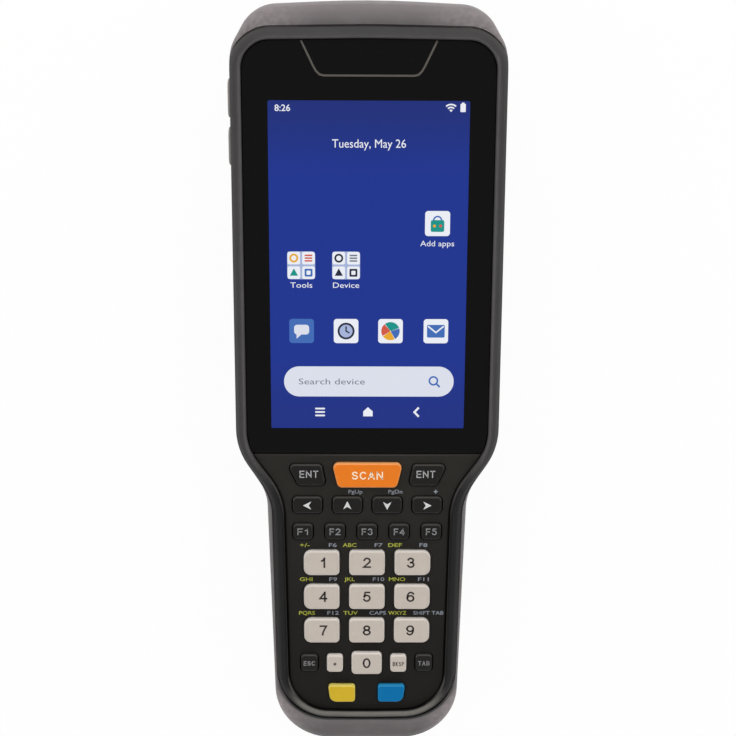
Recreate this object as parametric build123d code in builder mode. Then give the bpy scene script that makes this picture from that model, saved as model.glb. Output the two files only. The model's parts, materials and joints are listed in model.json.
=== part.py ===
from build123d import *
import os

# Rugged handheld data terminal, lying on its back.
# X runs across the case, +Y towards the head, +Z out of the screen.
# The origin is on the floor, under the middle of the case. Millimetres.

# ---- screen and battery, which set the size of the case ----------------------------------
panel_width = 59.8
panel_length = 100.4
panel_thickness = 3.6
panel_y = 38.2
panel_radius = 1.5
divide_y = panel_y - panel_length / 2 - 5.45    # middle of the bar between screen and keypad
divide_gap = 0.25          # from the middle of the bar to the glass and to the keypad plate
bar_half = 1.5             # half width of the bar
battery_width = 45.0
battery_length = 72.0
battery_depth = 12.0
battery_y = divide_y - 26.55
battery_radius = 4.0

# ---- front rim, seen from the front ----------------------------------------------------
rim_head = panel_width / 2 + 9.4    # half width at the head
rim_neck = 28.5            # half width at the top of the handle
rim_foot = 27.3            # half width at the foot of the handle
rim_top = panel_y + panel_length / 2 + 17.5
rim_bottom = divide_y - 86.95
shoulder_y = divide_y + 0.35    # where the head would meet the slanted shoulder
neck_y = divide_y - 14.45       # where the shoulder would meet the handle
rim_cut = (7.2, 6.2)       # how far the slanted corners of the head reach along each side
rim_crown = 0.5            # how far the middle of each end stands out
corner_radius = 11.0       # at both ends of a slanted corner
shoulder_radius = 20.0
neck_radius = 18.0
rim_foot_radius = 16.0
crown_blend = 300.0

# ---- rear housing at its widest, seen from the front --------------------------------------
belly_head = rim_head + 0.2
belly_neck = rim_neck + 2.4
belly_foot = rim_foot + 1.2
belly_top = rim_top + 8.05
belly_bottom = rim_bottom - 9.2
belly_cut = (6.2, 12.0)
belly_crown = 1.6
belly_foot_radius = 17.5

# ---- levels, from the back to the front -------------------------------------------------
back_wall = 2.4
handle_back_z = 6.5        # the back of the handle is raised off the table
parting_z = 33.4           # where the two housings meet
lip_z = 34.2               # the rear housing ends here outside the groove round the rim
seal_thickness = 0.4
seal_inset = 0.5
rim_edge_z = 34.4          # where the rim starts to slope inwards
rim_break_z = 37.0         # between the steep and the shallow facet of the rim
rim_top_z = 37.8
glass_top_z = 37.0
glass_thickness = 1.1
plate_top_z = 36.6
plate_thickness = 1.6
frame_z = 29.2             # underside of the inner frame
frame_thickness = 1.6

# ---- walls and clearances -------------------------------------------------------------
wall = 2.2
hood_wall = 3.0            # the hood slopes, so its wall is wider along the case
window_wall = 1.5          # left behind the bezel of the scan window
rim_facet_outer = 1.3
rim_facet_inner = 1.4
rim_width = 3.3
groove_width = 0.5         # open groove between the rim and the hood or the chin
fit_gap = 0.2              # between parts that are fixed to each other
move_gap = 0.35            # around anything that moves
clear_gap = 0.6            # around boards and other loose-fitting parts
thread_gap = 0.05
ledge = 2.0                # overlap of the glass on the housing
plate_groove = 0.2
plate_ledge = 0.8
tongue_thickness = 1.15
tongue_depth = 2.2
tongue_gap = 0.15
oversize = 400.0           # side of the blocks that trim a shape
overshoot = 1.0            # how far a cut runs past the wall that it opens

# ---- rear housing, level by level -------------------------------------------------------
# level; how far the flanks, the hood and the chin have come from the rim (0) to the belly (1);
# how far the head, the handle and both ends are tucked in under the belly
rear_sections = [
    (lip_z, 0.15, 0.08, 0.09, 0.0, 0.0, 0.0),
    (parting_z, 0.40, 0.26, 0.39, 0.0, 0.0, 0.0),
    (32.4, 0.60, 0.50, 0.72, 0.0, 0.0, 0.0),
    (30.4, 0.80, 0.79, 1.00, 0.0, 0.0, 0.0),
    (27.5, 0.95, 0.92, 1.00, 0.0, 0.0, 0.0),
    (23.0, 1.00, 1.00, 1.00, 0.0, 0.0, 0.0),
    (12.0, 1.00, 1.00, 1.00, 0.0, 0.2, 0.5),
    (4.0, 1.00, 1.00, 1.00, 0.4, 3.6, 1.3),
    (1.2, 1.00, 1.00, 1.00, 1.8, 5.0, 2.9),
    (0.0, 1.00, 1.00, 1.00, 3.6, 6.4, 5.0),
]
cavity_bottom = rim_bottom + 1.1
bay_gap = 0.3
bay_roof = 1.5
floor_lead = 6.0           # the floor of the cavity rises this far before the back does
head_end_y = 30.0          # the flat back of the head ends here
arch_start_y = 14.0
arch_end_y = battery_y - battery_length / 2 - 3.0
heel_start_y = arch_end_y - 10.0
heel_step = 2.0            # run of the slope at the ends of the floor over the battery bay
heel_floor = 4.0           # how far the floor in the heel lies above the wall

# ---- screws ---------------------------------------------------------------------------
screw_radius = 1.25
screw_head_radius = 2.3
screw_head_height = 1.8
screw_well = 18.0          # depth of the screw wells, from the level of the back
post_radius = 3.6
boss_radius = 2.4
screw_end_z = 33.6
side_screw_x = panel_width / 2 + boss_radius + 0.4
screw_points = [(rim_head - 8.3, rim_top - 7.6), (side_screw_x, panel_y + 6.8),
                (side_screw_x, divide_y + 15.45), (rim_foot - 10.3, rim_bottom + 8.2)]
screw_pad = 1.0            # extra width of the pads that join the bosses to the ledge of the keypad

# ---- screen ---------------------------------------------------------------------------
glass_bevel = 0.2

# ---- inner frame ----------------------------------------------------------------------
tray_side = 2.5            # width of the tray under the sides of the screen
tray_end = 4.0
frame_margin = (5.4, 17.2) # from the edge of the screen to the windows of the frame
frame_rib = (5.0, 6.0)
frame_windows = 3          # along each side
frame_window_radius = 2.0

# ---- keypad ---------------------------------------------------------------------------
key_travel = 0.8
key_lip = 0.45             # how far a key's flange reaches under the plate
key_flange = 0.65
key_round = 0.55
key_rest = 0.1             # between a pressed key and the mat
tall_key_z = 38.0
low_key_z = 37.5
board_thickness = 1.2
board_inset = 0.5
mat_inset = 1.0
plate_bevel = 0.5
dome_radius = 2.2
dome_height = 0.35
mat_thickness = 0.8
mat_boss_radius = 1.6
number_pitch_x = 13.8
number_pitch_y = 11.0
number_middle_y = divide_y - 45.4
number_size = (10.8, 7.7)
number_radius = 1.3
pad_radius = 2.2           # outer corners of the block of numbers
zero_size = (9.3, 7.0)
zero_radius = 1.3
small_size = (4.9, 5.5)
small_radius = 1.0
edge_size = (5.2, 5.4)
colour_size = (8.4, 5.5)
colour_slant = 0.7
colour_radius = 1.0
function_size = (6.0, 4.9)
arrow_size = (8.9, 5.2)
arrow_radius = 1.4
dark_radius = 1.2
scan_row_y = divide_y - 6.65
arrow_row_y = divide_y - 16.1
function_row_y = divide_y - 24.55
zero_row_y = divide_y - 67.25
colour_row_y = divide_y - 77.3
arrow_pitch = 12.0
function_pitch = 9.7
small_x = 9.8
edge_x = 17.7
colour_x = 7.75
scan_top = 21.2
scan_bottom = 17.6
scan_height = 7.5
scan_radius = 1.6
enter_inner = 13.7
enter_outer = 24.0
enter_slant = 3.2
enter_inner_slant = 1.3
enter_height = 6.6
enter_radius = 1.4

# ---- side buttons ---------------------------------------------------------------------
button_z = 18.0
volume_z = 24.6
button_width = 6.0
button_round = 0.5
trigger_length = 24.0
trigger_y = 28.0
volume_length = 11.2
volume_y = 79.2
volume_pitch = 13.7
power_length = 11.0
power_y = 81.0
side_wall = wall + 0.05     # the wall and a hair of room inside it
side_flange = 0.7
flange_radius = 2.0
side_lip = 0.8
side_travel = 0.8
trigger_proud = 0.25
volume_proud = 1.1
release_y = -68.2
release_length = 16.0
release_z = 15.5
release_travel = 1.5
release_proud = 0.6
release_depth = 2.1        # wall left outside the flange of the battery release
release_inset = 0.15       # how far the flank has drawn in at the level of the release
catch_length = 12.0
catch_width = 4.0
battery_bevel = 0.6
switch_size = (2.8, 6.0, 4.0)
switch_rib = 1.3
switch_margin = 1.0        # of the rib beyond the sides of the switch
switch_gap = 0.1

# ---- head -----------------------------------------------------------------------------
window_z = 11.5
window_face_y = belly_top - 1.8
bezel_size = (32.6, 12.8)
bezel_thickness = 1.3
bezel_radius = 1.8
bezel_bevel = 0.3
window_size = (26.4, 10.0)
window_thickness = 0.9
window_radius = 1.1
sight_size = (24.0, 8.0)   # clear opening in front of the scan engine
sight_radius = 1.0
engine_size = (23.0, 15.0, 10.0)
engine_z = 6.4
engine_gap = 1.0           # from the front of the engine to the wall of the head
engine_lens_x = 6.0
engine_lens_radius = 2.8
engine_lens_depth = 1.5
cradle_wall = 2.0
main_board_width = 2 * (side_screw_x - post_radius - clear_gap)
main_board_length = panel_length - 2.4
main_board_y = panel_y + 1.8
main_board_radius = 3.0
spacer_height = 4.0
spacer_inset = 4.5         # of the spacers from the corners of the main board
spacer_radius = 2.2
shield_height = 2.4
shield_radius = 1.0
# x, y, width, length of each shield, from the middle of the main board
shields = [(-12.0, 26.0, 26.0, 24.0), (14.0, 26.0, 18.0, 30.0), (0.0, -16.0, 40.0, 20.0)]
speaker_spot = (-18.0, 52.0)
speaker_size = (14.0, 12.0, 3.6)
speaker_radius = 2.0
speaker_slot = (9.0, 1.2)  # of the openings in front of the loudspeaker
speaker_slot_pitch = 2.6
speaker_slot_count = 4
motor_spot = (18.0, 52.0)
motor_radius = 5.0
motor_height = 3.2
camera_spot = (0.0, 78.0)
camera_size = (8.5, 8.5, 5.0)
camera_radius = 4.3
camera_hole_radius = 3.2
flash_spot = (11.0, 78.0)
flash_radius = 2.4
flash_hole_radius = 1.5
lens_recess = 1.5
lens_thickness = 1.0

# ---- contacts ---------------------------------------------------------------------------
dock_y = rim_bottom + 3.4
dock_pitch = 2.6
dock_count = 6
dock_recess = 1.0
dock_margin = 1.0          # of the recess round the contacts
dock_pad = (1.6, 4.0, 0.5)
blade_size = (2.0, 5.0)
blade_pitch = 5.0
blade_count = 4
blade_inset = 6.0          # from the head end of the battery
groove_inset = 9.0
groove_size = (20.0, 1.4)
groove_pitch = 3.2
groove_depth = 0.7

os.makedirs("parts", exist_ok=True)


def finish(piece, label):
    """Name a finished piece and write it."""
    piece.part.label = label
    export_step(piece.part, f"parts/{label}.step")


def closed_outline(corners, radii):
    """Sketch with the given corners, each rounded to its own radius."""
    with BuildSketch() as outline:
        with BuildLine():
            FilletPolyline(*corners, radius=radii, close=True)
        make_face()
    return outline.sketch


def case_outline(head, neck, foot, top, bottom, cut, crown, foot_radius):
    """Front view of the case: broad head with slanted corners, S-shaped shoulders, long handle."""
    right = [(head - cut[0], top - crown), (head, top - crown - cut[1]), (head, shoulder_y),
             (neck, neck_y), (foot, bottom + rim_crown)]
    radii = [corner_radius, corner_radius, shoulder_radius, neck_radius, foot_radius]
    left = [(-x, y) for x, y in reversed(right)]
    corners = [(0, top), *right, (0, bottom), *left]
    return closed_outline(corners, [crown_blend, *radii, crown_blend, *reversed(radii)])


def rim_outline(inset=0.0):
    """Outline of the front rim, moved inwards by the inset."""
    with BuildSketch() as rim:
        add(case_outline(rim_head, rim_neck, rim_foot, rim_top, rim_bottom, rim_cut, rim_crown,
                         rim_foot_radius))
        if inset:
            offset(amount=-inset, mode=Mode.REPLACE)
    return rim.sketch


def between(first, last, share):
    """Value on the way from the first (0) to the last (1)."""
    return first + (last - first) * share


def rear_outline(flank, hood, chin, head_tuck, handle_tuck, end_tuck):
    """Outline of the rear housing at one level."""
    cut = [between(a, b, hood) for a, b in zip(rim_cut, belly_cut)]
    return case_outline(between(rim_head, belly_head, flank) - head_tuck,
                        between(rim_neck, belly_neck, flank) - handle_tuck,
                        between(rim_foot, belly_foot, flank) - handle_tuck,
                        between(rim_top, belly_top, hood) - end_tuck,
                        between(rim_bottom, belly_bottom, chin) + end_tuck,
                        cut, between(rim_crown, belly_crown, hood),
                        between(rim_foot_radius, belly_foot_radius, chin) - end_tuck)


def cavity_outline(flank, hood, head_tuck, handle_tuck, end_tuck):
    """Outline of the hollow inside the rear housing at one level."""
    top = min(between(rim_top, belly_top, hood) - end_tuck - hood_wall, cavity_top)
    with BuildSketch() as hollow:
        add(case_outline(between(rim_head, belly_head, flank) - head_tuck,
                         between(rim_neck, belly_neck, flank) - handle_tuck,
                         between(rim_foot, belly_foot, flank) - handle_tuck,
                         top + wall, cavity_bottom - wall, rim_cut, rim_crown,
                         rim_foot_radius - end_tuck))
        offset(amount=-wall, mode=Mode.REPLACE)
    return hollow.sketch


def keep_above(level):
    """Keep the part of the current sketch that lies on the head side of a level."""
    with Locations((0, level + oversize / 2)):
        Rectangle(oversize, oversize, mode=Mode.INTERSECT)


def keep_below(level):
    """Keep the part of the current sketch that lies on the foot side of a level."""
    with Locations((0, level - oversize / 2)):
        Rectangle(oversize, oversize, mode=Mode.INTERSECT)


def mirrored(points):
    """The points on the right and their twins on the left."""
    return [(side * x, y) for x, y in points for side in (1, -1)]


def head_plane(y):
    """Plane that looks out of the head end, centred on the scan window."""
    return Plane(origin=(0, y, window_z), x_dir=(-1, 0, 0), z_dir=(0, 1, 0))


def flank_plane(side, x, y, z):
    """Plane that looks out of the right (1) or the left (-1) flank."""
    return Plane(origin=(side * x, y, z), x_dir=(0, 1, 0), z_dir=(side, 0, 0))


def flange_size(length, extra=0.0):
    """Length and width of the flange behind a side button."""
    growth = 2 * (side_lip + move_gap) + extra
    return length + growth, button_width + growth


# ---- rear housing -----------------------------------------------------------------------
far = oversize / 2
bay_depth = handle_back_z + battery_depth + bay_gap
bay_size = (battery_width + 2 * bay_gap, battery_length + 2 * bay_gap)
roof_z = bay_depth + bay_roof
heel_floor_z = back_wall + heel_floor
inner_head_x = belly_head - side_wall
bezel_back_y = window_face_y - bezel_thickness
cavity_top = bezel_back_y - window_wall
engine_y = cavity_top - engine_gap - engine_size[1] / 2
with BuildPart() as cavity:
    for level, flank, hood, chin, head_tuck, handle_tuck, end_tuck in rear_sections[:-1]:
        with BuildSketch(Plane.XY.offset(level)):
            add(cavity_outline(flank, hood, head_tuck, handle_tuck, end_tuck))
    loft(ruled=True)
    # floor of the cavity: low in the head and in the heel, high over the battery bay
    with BuildSketch(Plane.YZ):
        add(closed_outline([(far, far), (far, back_wall), (head_end_y - floor_lead, back_wall),
                            (arch_start_y - floor_lead, roof_z), (arch_end_y - 2 * heel_step, roof_z),
                            (arch_end_y - 3 * heel_step, heel_floor_z), (-far, heel_floor_z),
                            (-far, far)],
                           [1, 1, 6, 6, 1, 1, 1, 1]))
    extrude(amount=far, both=True, mode=Mode.INTERSECT)
    # room for the rim of the front housing and the groove round it
    with BuildSketch(Plane.XY.offset(parting_z)):
        add(rim_outline(-groove_width))
    extrude(amount=lip_z - parting_z + overshoot)

wells = mirrored(screw_points)
# side, y, z, length and how far it stands proud, of each button in the flanks of the head
flank_buttons = {
    "side_trigger_right": (1, trigger_y, button_z, trigger_length, trigger_proud),
    "side_trigger_left": (-1, trigger_y, button_z, trigger_length, trigger_proud),
    "power_button": (1, power_y, button_z, power_length, trigger_proud),
    "volume_up": (-1, volume_y + volume_pitch / 2, volume_z, volume_length, volume_proud),
    "volume_down": (-1, volume_y - volume_pitch / 2, volume_z, volume_length, volume_proud),
}
switch_face = inner_head_x - side_flange - side_travel - switch_gap
rib_x = switch_face - switch_size[0] - switch_rib / 2
release_share = (neck_y - release_y) / (neck_y - belly_bottom)
handle_flank_x = between(belly_neck, belly_foot, release_share) - release_inset
release_step = handle_flank_x - release_depth
with BuildPart() as rear_housing:
    for level, *measures in rear_sections:
        with BuildSketch(Plane.XY.offset(level)):
            add(rear_outline(*measures))
    loft(ruled=True)
    add(cavity.part, mode=Mode.SUBTRACT)
    # screw posts, ribs behind the side switches and the cradle of the scan engine
    with BuildSketch(Plane.XY.offset(back_wall / 2)):
        with Locations(*wells):
            Circle(post_radius)
    extrude(amount=frame_z - back_wall / 2)
    for side, y, z, length, proud in flank_buttons.values():
        with BuildSketch(Plane.XY.offset(back_wall / 2)):
            with Locations((side * rib_x, y)):
                Rectangle(switch_rib, switch_size[1] + 2 * switch_margin)
        extrude(amount=z + switch_size[2] / 2 - back_wall / 2)
    with BuildSketch(Plane.XY.offset(back_wall / 2)):
        with Locations((-engine_size[0] / 3, engine_y), (engine_size[0] / 3, engine_y)):
            Rectangle(cradle_wall, engine_size[1] - cradle_wall)
    extrude(amount=engine_z - back_wall / 2)
    # side view: flat head, raised handle, flat heel
    with BuildSketch(Plane.YZ):
        add(closed_outline([(far, far), (far, 0), (head_end_y, 0), (arch_start_y, handle_back_z),
                            (arch_end_y, handle_back_z), (heel_start_y, 0), (-far, 0), (-far, far)],
                           [1, 1, 20, 20, 14, 8, 1, 1]))
    extrude(amount=far, both=True, mode=Mode.INTERSECT)
    # deep wells and through holes for the screws
    with BuildSketch(Plane.XY):
        with Locations(*wells):
            Circle(screw_head_radius + fit_gap)
    extrude(amount=screw_well, mode=Mode.SUBTRACT)
    with BuildSketch(Plane.XY):
        with Locations(*wells):
            Circle(screw_radius + fit_gap)
    extrude(amount=frame_z + overshoot, mode=Mode.SUBTRACT)
    # battery bay
    with BuildSketch(Plane.XY):
        with Locations((0, battery_y)):
            RectangleRounded(*bay_size, battery_radius + bay_gap)
    extrude(amount=bay_depth, mode=Mode.SUBTRACT)
    # openings for the buttons in the flanks of the head
    for side, y, z, length, proud in flank_buttons.values():
        with BuildSketch(flank_plane(side, inner_head_x - overshoot, y, z)):
            SlotOverall(length + 2 * move_gap, button_width + 2 * move_gap)
        extrude(amount=side_wall + 2 * overshoot, mode=Mode.SUBTRACT)
    # stepped opening for the battery release in the right flank of the handle
    with BuildSketch(flank_plane(1, release_step, release_y, release_z)):
        RectangleRounded(*flange_size(release_length, 2 * move_gap), flange_radius)
    extrude(amount=bay_size[0] / 2 - overshoot - release_step, mode=Mode.SUBTRACT)
    with BuildSketch(flank_plane(1, release_step, release_y, release_z)):
        SlotOverall(release_length + 2 * move_gap, button_width + 2 * move_gap)
    extrude(amount=release_depth + 2 * overshoot, mode=Mode.SUBTRACT)
    # pocket for the bezel of the scan window, and the sight opening behind it
    with BuildSketch(head_plane(bezel_back_y)):
        RectangleRounded(bezel_size[0] + 2 * fit_gap, bezel_size[1] + 2 * fit_gap, bezel_radius + fit_gap)
    extrude(amount=belly_top - bezel_back_y + overshoot, mode=Mode.SUBTRACT)
    with BuildSketch(head_plane(cavity_top - overshoot)):
        RectangleRounded(*sight_size, sight_radius)
    extrude(amount=window_wall + 2 * overshoot, mode=Mode.SUBTRACT)
    # camera, flash and loudspeaker openings in the back of the head
    for spot, recess_radius, hole_radius in ((camera_spot, camera_radius, camera_hole_radius),
                                             (flash_spot, flash_radius, flash_hole_radius)):
        with BuildSketch(Plane.XY):
            with Locations(spot):
                Circle(recess_radius + fit_gap)
        extrude(amount=lens_recess, mode=Mode.SUBTRACT)
        with BuildSketch(Plane.XY):
            with Locations(spot):
                Circle(hole_radius)
        extrude(amount=back_wall + overshoot, mode=Mode.SUBTRACT)
    with BuildSketch(Plane.XY):
        with Locations(speaker_spot):
            with GridLocations(0, speaker_slot_pitch, 1, speaker_slot_count):
                SlotOverall(*speaker_slot)
    extrude(amount=back_wall + overshoot, mode=Mode.SUBTRACT)
    # recess of the dock contacts
    with BuildSketch(Plane.XY):
        with Locations((0, dock_y)):
            RectangleRounded(dock_pitch * (dock_count - 1) + dock_pad[0] + 2 * dock_margin,
                             dock_pad[1] + 2 * dock_margin, dock_margin)
    extrude(amount=dock_recess, mode=Mode.SUBTRACT)
finish(rear_housing, "rear_housing")

# ---- front housing -----------------------------------------------------------------------
seal_top_z = parting_z + seal_thickness
glass_seat_z = glass_top_z - glass_thickness
plate_seat_z = plate_top_z - plate_thickness
frame_top_z = frame_z + frame_thickness
glass_inset = rim_width + fit_gap
plate_inset = rim_width + plate_groove
screen_opening = glass_inset + ledge
keypad_opening = plate_inset + plate_ledge
tongue_inset = wall + tongue_gap
heel_wells = [spot for spot in wells if spot[1] < divide_y]
with BuildPart() as front_housing:
    rim_levels = [(seal_top_z, 0), (rim_edge_z, 0), (rim_break_z, rim_facet_outer),
                  (rim_top_z, rim_facet_outer + rim_facet_inner)]
    for level, inset in rim_levels:
        with BuildSketch(Plane.XY.offset(level)):
            add(rim_outline(inset))
    loft(ruled=True)
    # pocket of the glass and pocket of the keypad plate
    with BuildSketch(Plane.XY.offset(glass_seat_z)):
        add(rim_outline(rim_width))
        keep_above(divide_y)
    extrude(amount=rim_top_z - glass_seat_z + overshoot, mode=Mode.SUBTRACT)
    with BuildSketch(Plane.XY.offset(plate_seat_z)):
        add(rim_outline(rim_width))
        keep_below(divide_y)
    extrude(amount=rim_top_z - plate_seat_z + overshoot, mode=Mode.SUBTRACT)
    # openings for the screen and for the keys, with a bar between them
    with BuildSketch(Plane.XY.offset(seal_top_z)):
        add(rim_outline(screen_opening))
        keep_above(divide_y + bar_half)
    extrude(amount=glass_seat_z - seal_top_z, mode=Mode.SUBTRACT)
    with BuildSketch(Plane.XY.offset(seal_top_z)):
        add(rim_outline(keypad_opening))
        keep_below(divide_y - bar_half)
        with Locations(*heel_wells):
            Circle(boss_radius + screw_pad, mode=Mode.SUBTRACT)
    extrude(amount=plate_seat_z - seal_top_z, mode=Mode.SUBTRACT)
    # tongue that reaches into the rear housing
    with BuildSketch(Plane.XY.offset(seal_top_z)):
        add(rim_outline(tongue_inset))
        add(rim_outline(tongue_inset + tongue_thickness), mode=Mode.SUBTRACT)
    extrude(amount=-tongue_depth)
    # bosses that the screws pull up against the inner frame
    with BuildSketch(Plane.XY.offset(frame_top_z)):
        with Locations(*wells):
            Circle(boss_radius)
    extrude(amount=plate_seat_z - frame_top_z)
    with BuildSketch(Plane.XY.offset(frame_top_z)):
        with Locations(*wells):
            Circle(screw_radius + thread_gap)
    extrude(amount=screw_end_z + fit_gap - frame_top_z, mode=Mode.SUBTRACT)
finish(front_housing, "front_housing")

with BuildPart() as housing_seal:
    with BuildSketch(Plane.XY.offset(parting_z)):
        add(rim_outline(seal_inset))
        add(rim_outline(wall - fit_gap), mode=Mode.SUBTRACT)
    extrude(amount=seal_thickness)
finish(housing_seal, "housing_seal")

with BuildPart() as housing_screws:
    with BuildSketch(Plane.XY.offset(screw_well)):
        with Locations(*wells):
            Circle(screw_head_radius)
    extrude(amount=-screw_head_height)
    with BuildSketch(Plane.XY.offset(screw_well)):
        with Locations(*wells):
            Circle(screw_radius)
    extrude(amount=screw_end_z - screw_well)
finish(housing_screws, "housing_screws")

# ---- screen ---------------------------------------------------------------------------
with BuildPart() as touch_glass:
    with BuildSketch(Plane.XY.offset(glass_seat_z)):
        add(rim_outline(glass_inset))
        keep_above(divide_y + divide_gap)
    extrude(amount=glass_thickness)
    chamfer(touch_glass.faces().sort_by(Axis.Z)[-1].edges(), length=glass_bevel)
finish(touch_glass, "touch_glass")

panel_z = glass_seat_z - panel_thickness
with BuildPart() as display_panel:
    with BuildSketch(Plane.XY.offset(panel_z)):
        with Locations((0, panel_y)):
            RectangleRounded(panel_width, panel_length, panel_radius)
    extrude(amount=panel_thickness)
finish(display_panel, "display_panel")

# ---- inner frame and boards -----------------------------------------------------------------
frame_inset = tongue_inset + tongue_thickness + 2 * fit_gap
window_pitch = [(size - 2 * margin + rib) / frame_windows
                for size, margin, rib in zip((panel_width, panel_length), frame_margin, frame_rib)]
with BuildPart() as inner_frame:
    with BuildSketch(Plane.XY.offset(frame_z)):
        add(rim_outline(frame_inset))
        with Locations((0, panel_y)):
            with GridLocations(*window_pitch, frame_windows, frame_windows):
                RectangleRounded(window_pitch[0] - frame_rib[0], window_pitch[1] - frame_rib[1],
                                 frame_window_radius, mode=Mode.SUBTRACT)
        with Locations(*wells):
            Circle(screw_radius + fit_gap, mode=Mode.SUBTRACT)
    extrude(amount=frame_thickness)
    # tray that carries the screen
    with BuildSketch(Plane.XY.offset(frame_top_z)):
        with Locations((0, panel_y)):
            Rectangle(panel_width, panel_length)
            Rectangle(panel_width - 2 * tray_side, panel_length - 2 * tray_end, mode=Mode.SUBTRACT)
    extrude(amount=panel_z - frame_top_z)
    # spacers that carry the main board
    with BuildSketch(Plane.XY.offset(frame_z)):
        with Locations((0, main_board_y)):
            with GridLocations(main_board_width - 2 * spacer_inset, main_board_length - 2 * spacer_inset, 2, 2):
                Circle(spacer_radius)
    extrude(amount=-spacer_height)
finish(inner_frame, "inner_frame")

main_board_z = frame_z - spacer_height - board_thickness
with BuildPart() as main_board:
    with BuildSketch(Plane.XY.offset(main_board_z)):
        with Locations((0, main_board_y)):
            RectangleRounded(main_board_width, main_board_length, main_board_radius)
    extrude(amount=board_thickness)
finish(main_board, "main_board")

with BuildPart() as board_shields:
    with BuildSketch(Plane.XY.offset(main_board_z)):
        for x, y, width, length in shields:
            with Locations((x, main_board_y + y)):
                RectangleRounded(width, length, shield_radius)
    extrude(amount=-shield_height)
finish(board_shields, "board_shields")

# ---- scan engine, loudspeaker, motor and camera in the head -----------------------------------
with BuildPart() as scan_window_bezel:
    with BuildSketch(head_plane(bezel_back_y)):
        RectangleRounded(*bezel_size, bezel_radius)
    extrude(amount=bezel_thickness)
    chamfer(scan_window_bezel.faces().sort_by(Axis.Y)[-1].edges(), length=bezel_bevel)
    with BuildSketch(head_plane(bezel_back_y)):
        RectangleRounded(*sight_size, sight_radius)
    extrude(amount=bezel_thickness, mode=Mode.SUBTRACT)
    with BuildSketch(head_plane(bezel_back_y)):
        RectangleRounded(window_size[0] + fit_gap, window_size[1] + fit_gap, window_radius + fit_gap / 2)
    extrude(amount=window_thickness, mode=Mode.SUBTRACT)
finish(scan_window_bezel, "scan_window_bezel")

with BuildPart() as scan_window:
    with BuildSketch(head_plane(bezel_back_y)):
        RectangleRounded(*window_size, window_radius)
    extrude(amount=window_thickness)
finish(scan_window, "scan_window")

with BuildPart() as scan_engine:
    with BuildSketch(Plane.XY.offset(engine_z)):
        with Locations((0, engine_y)):
            Rectangle(engine_size[0], engine_size[1])
    extrude(amount=engine_size[2])
    # the two round lenses at the front of the engine
    with BuildSketch(head_plane(engine_y + engine_size[1] / 2)):
        with Locations((-engine_lens_x, 0), (engine_lens_x, 0)):
            Circle(engine_lens_radius)
    extrude(amount=-engine_lens_depth, mode=Mode.SUBTRACT)
finish(scan_engine, "scan_engine")

with BuildPart() as speaker:
    with BuildSketch(Plane.XY.offset(back_wall)):
        with Locations(speaker_spot):
            RectangleRounded(speaker_size[0], speaker_size[1], speaker_radius)
    extrude(amount=speaker_size[2])
finish(speaker, "speaker")

with BuildPart() as vibration_motor:
    with BuildSketch(Plane.XY.offset(back_wall)):
        with Locations(motor_spot):
            Circle(motor_radius)
    extrude(amount=motor_height)
finish(vibration_motor, "vibration_motor")

with BuildPart() as camera_module:
    with BuildSketch(Plane.XY.offset(back_wall)):
        with Locations(camera_spot):
            Rectangle(camera_size[0], camera_size[1])
    extrude(amount=camera_size[2])
finish(camera_module, "camera_module")

for label, spot, radius in (("camera_window", camera_spot, camera_radius),
                            ("flash_lens", flash_spot, flash_radius)):
    with BuildPart() as lens:
        with BuildSketch(Plane.XY.offset(lens_recess)):
            with Locations(spot):
                Circle(radius)
        extrude(amount=-lens_thickness)
    finish(lens, label)

# ---- buttons in the flanks -----------------------------------------------------------------
for label, (side, y, z, length, proud) in flank_buttons.items():
    with BuildPart() as button:
        with BuildSketch(flank_plane(side, inner_head_x, y, z)):
            SlotOverall(length, button_width)
        extrude(amount=side_wall + proud)
        outer_face = button.faces().sort_by(Axis.X)[-1 if side > 0 else 0]
        fillet(outer_face.edges(), radius=button_round)
        # flange that holds the button behind the wall
        with BuildSketch(flank_plane(side, inner_head_x, y, z)):
            RectangleRounded(*flange_size(length), flange_radius)
        extrude(amount=-side_flange)
    finish(button, label)

with BuildPart() as side_switches:
    for side, y, z, length, proud in flank_buttons.values():
        with Locations((side * (switch_face - switch_size[0] / 2), y, z)):
            Box(*switch_size)
finish(side_switches, "side_switches")

# ---- battery, its release and its contacts -----------------------------------------------------
battery_head_y = battery_y + battery_length / 2
with BuildPart() as battery_pack:
    with BuildSketch(Plane.XY.offset(handle_back_z)):
        with Locations((0, battery_y)):
            RectangleRounded(battery_width, battery_length, battery_radius)
    extrude(amount=battery_depth)
    chamfer(battery_pack.faces().sort_by(Axis.Z)[0].edges(), length=battery_bevel)
    # finger grooves for lifting the pack out
    with BuildSketch(Plane.XY.offset(handle_back_z)):
        with Locations((0, battery_head_y - groove_inset)):
            with GridLocations(0, groove_pitch, 1, 3):
                SlotOverall(*groove_size)
    extrude(amount=groove_depth, mode=Mode.SUBTRACT)
finish(battery_pack, "battery_pack")

release_plane = flank_plane(1, release_step, release_y, release_z)
release_nose = release_step - battery_width / 2 - bay_gap - release_travel
with BuildPart() as battery_release:
    with BuildSketch(release_plane):
        SlotOverall(release_length, button_width)
    extrude(amount=release_depth + release_proud)
    fillet(battery_release.faces().sort_by(Axis.X)[-1].edges(), radius=button_round)
    with BuildSketch(release_plane):
        RectangleRounded(*flange_size(release_length), flange_radius)
    extrude(amount=-side_flange)
    # catch that faces the battery pack
    with BuildSketch(release_plane):
        Rectangle(catch_length, catch_width)
    extrude(amount=-release_nose)
finish(battery_release, "battery_release")

with BuildPart() as battery_contacts:
    with BuildSketch(Plane.XY.offset(bay_depth)):
        with Locations((0, battery_head_y - blade_inset)):
            with GridLocations(blade_pitch, 0, blade_count, 1):
                Rectangle(*blade_size)
    extrude(amount=-bay_gap)
finish(battery_contacts, "battery_contacts")

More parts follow.
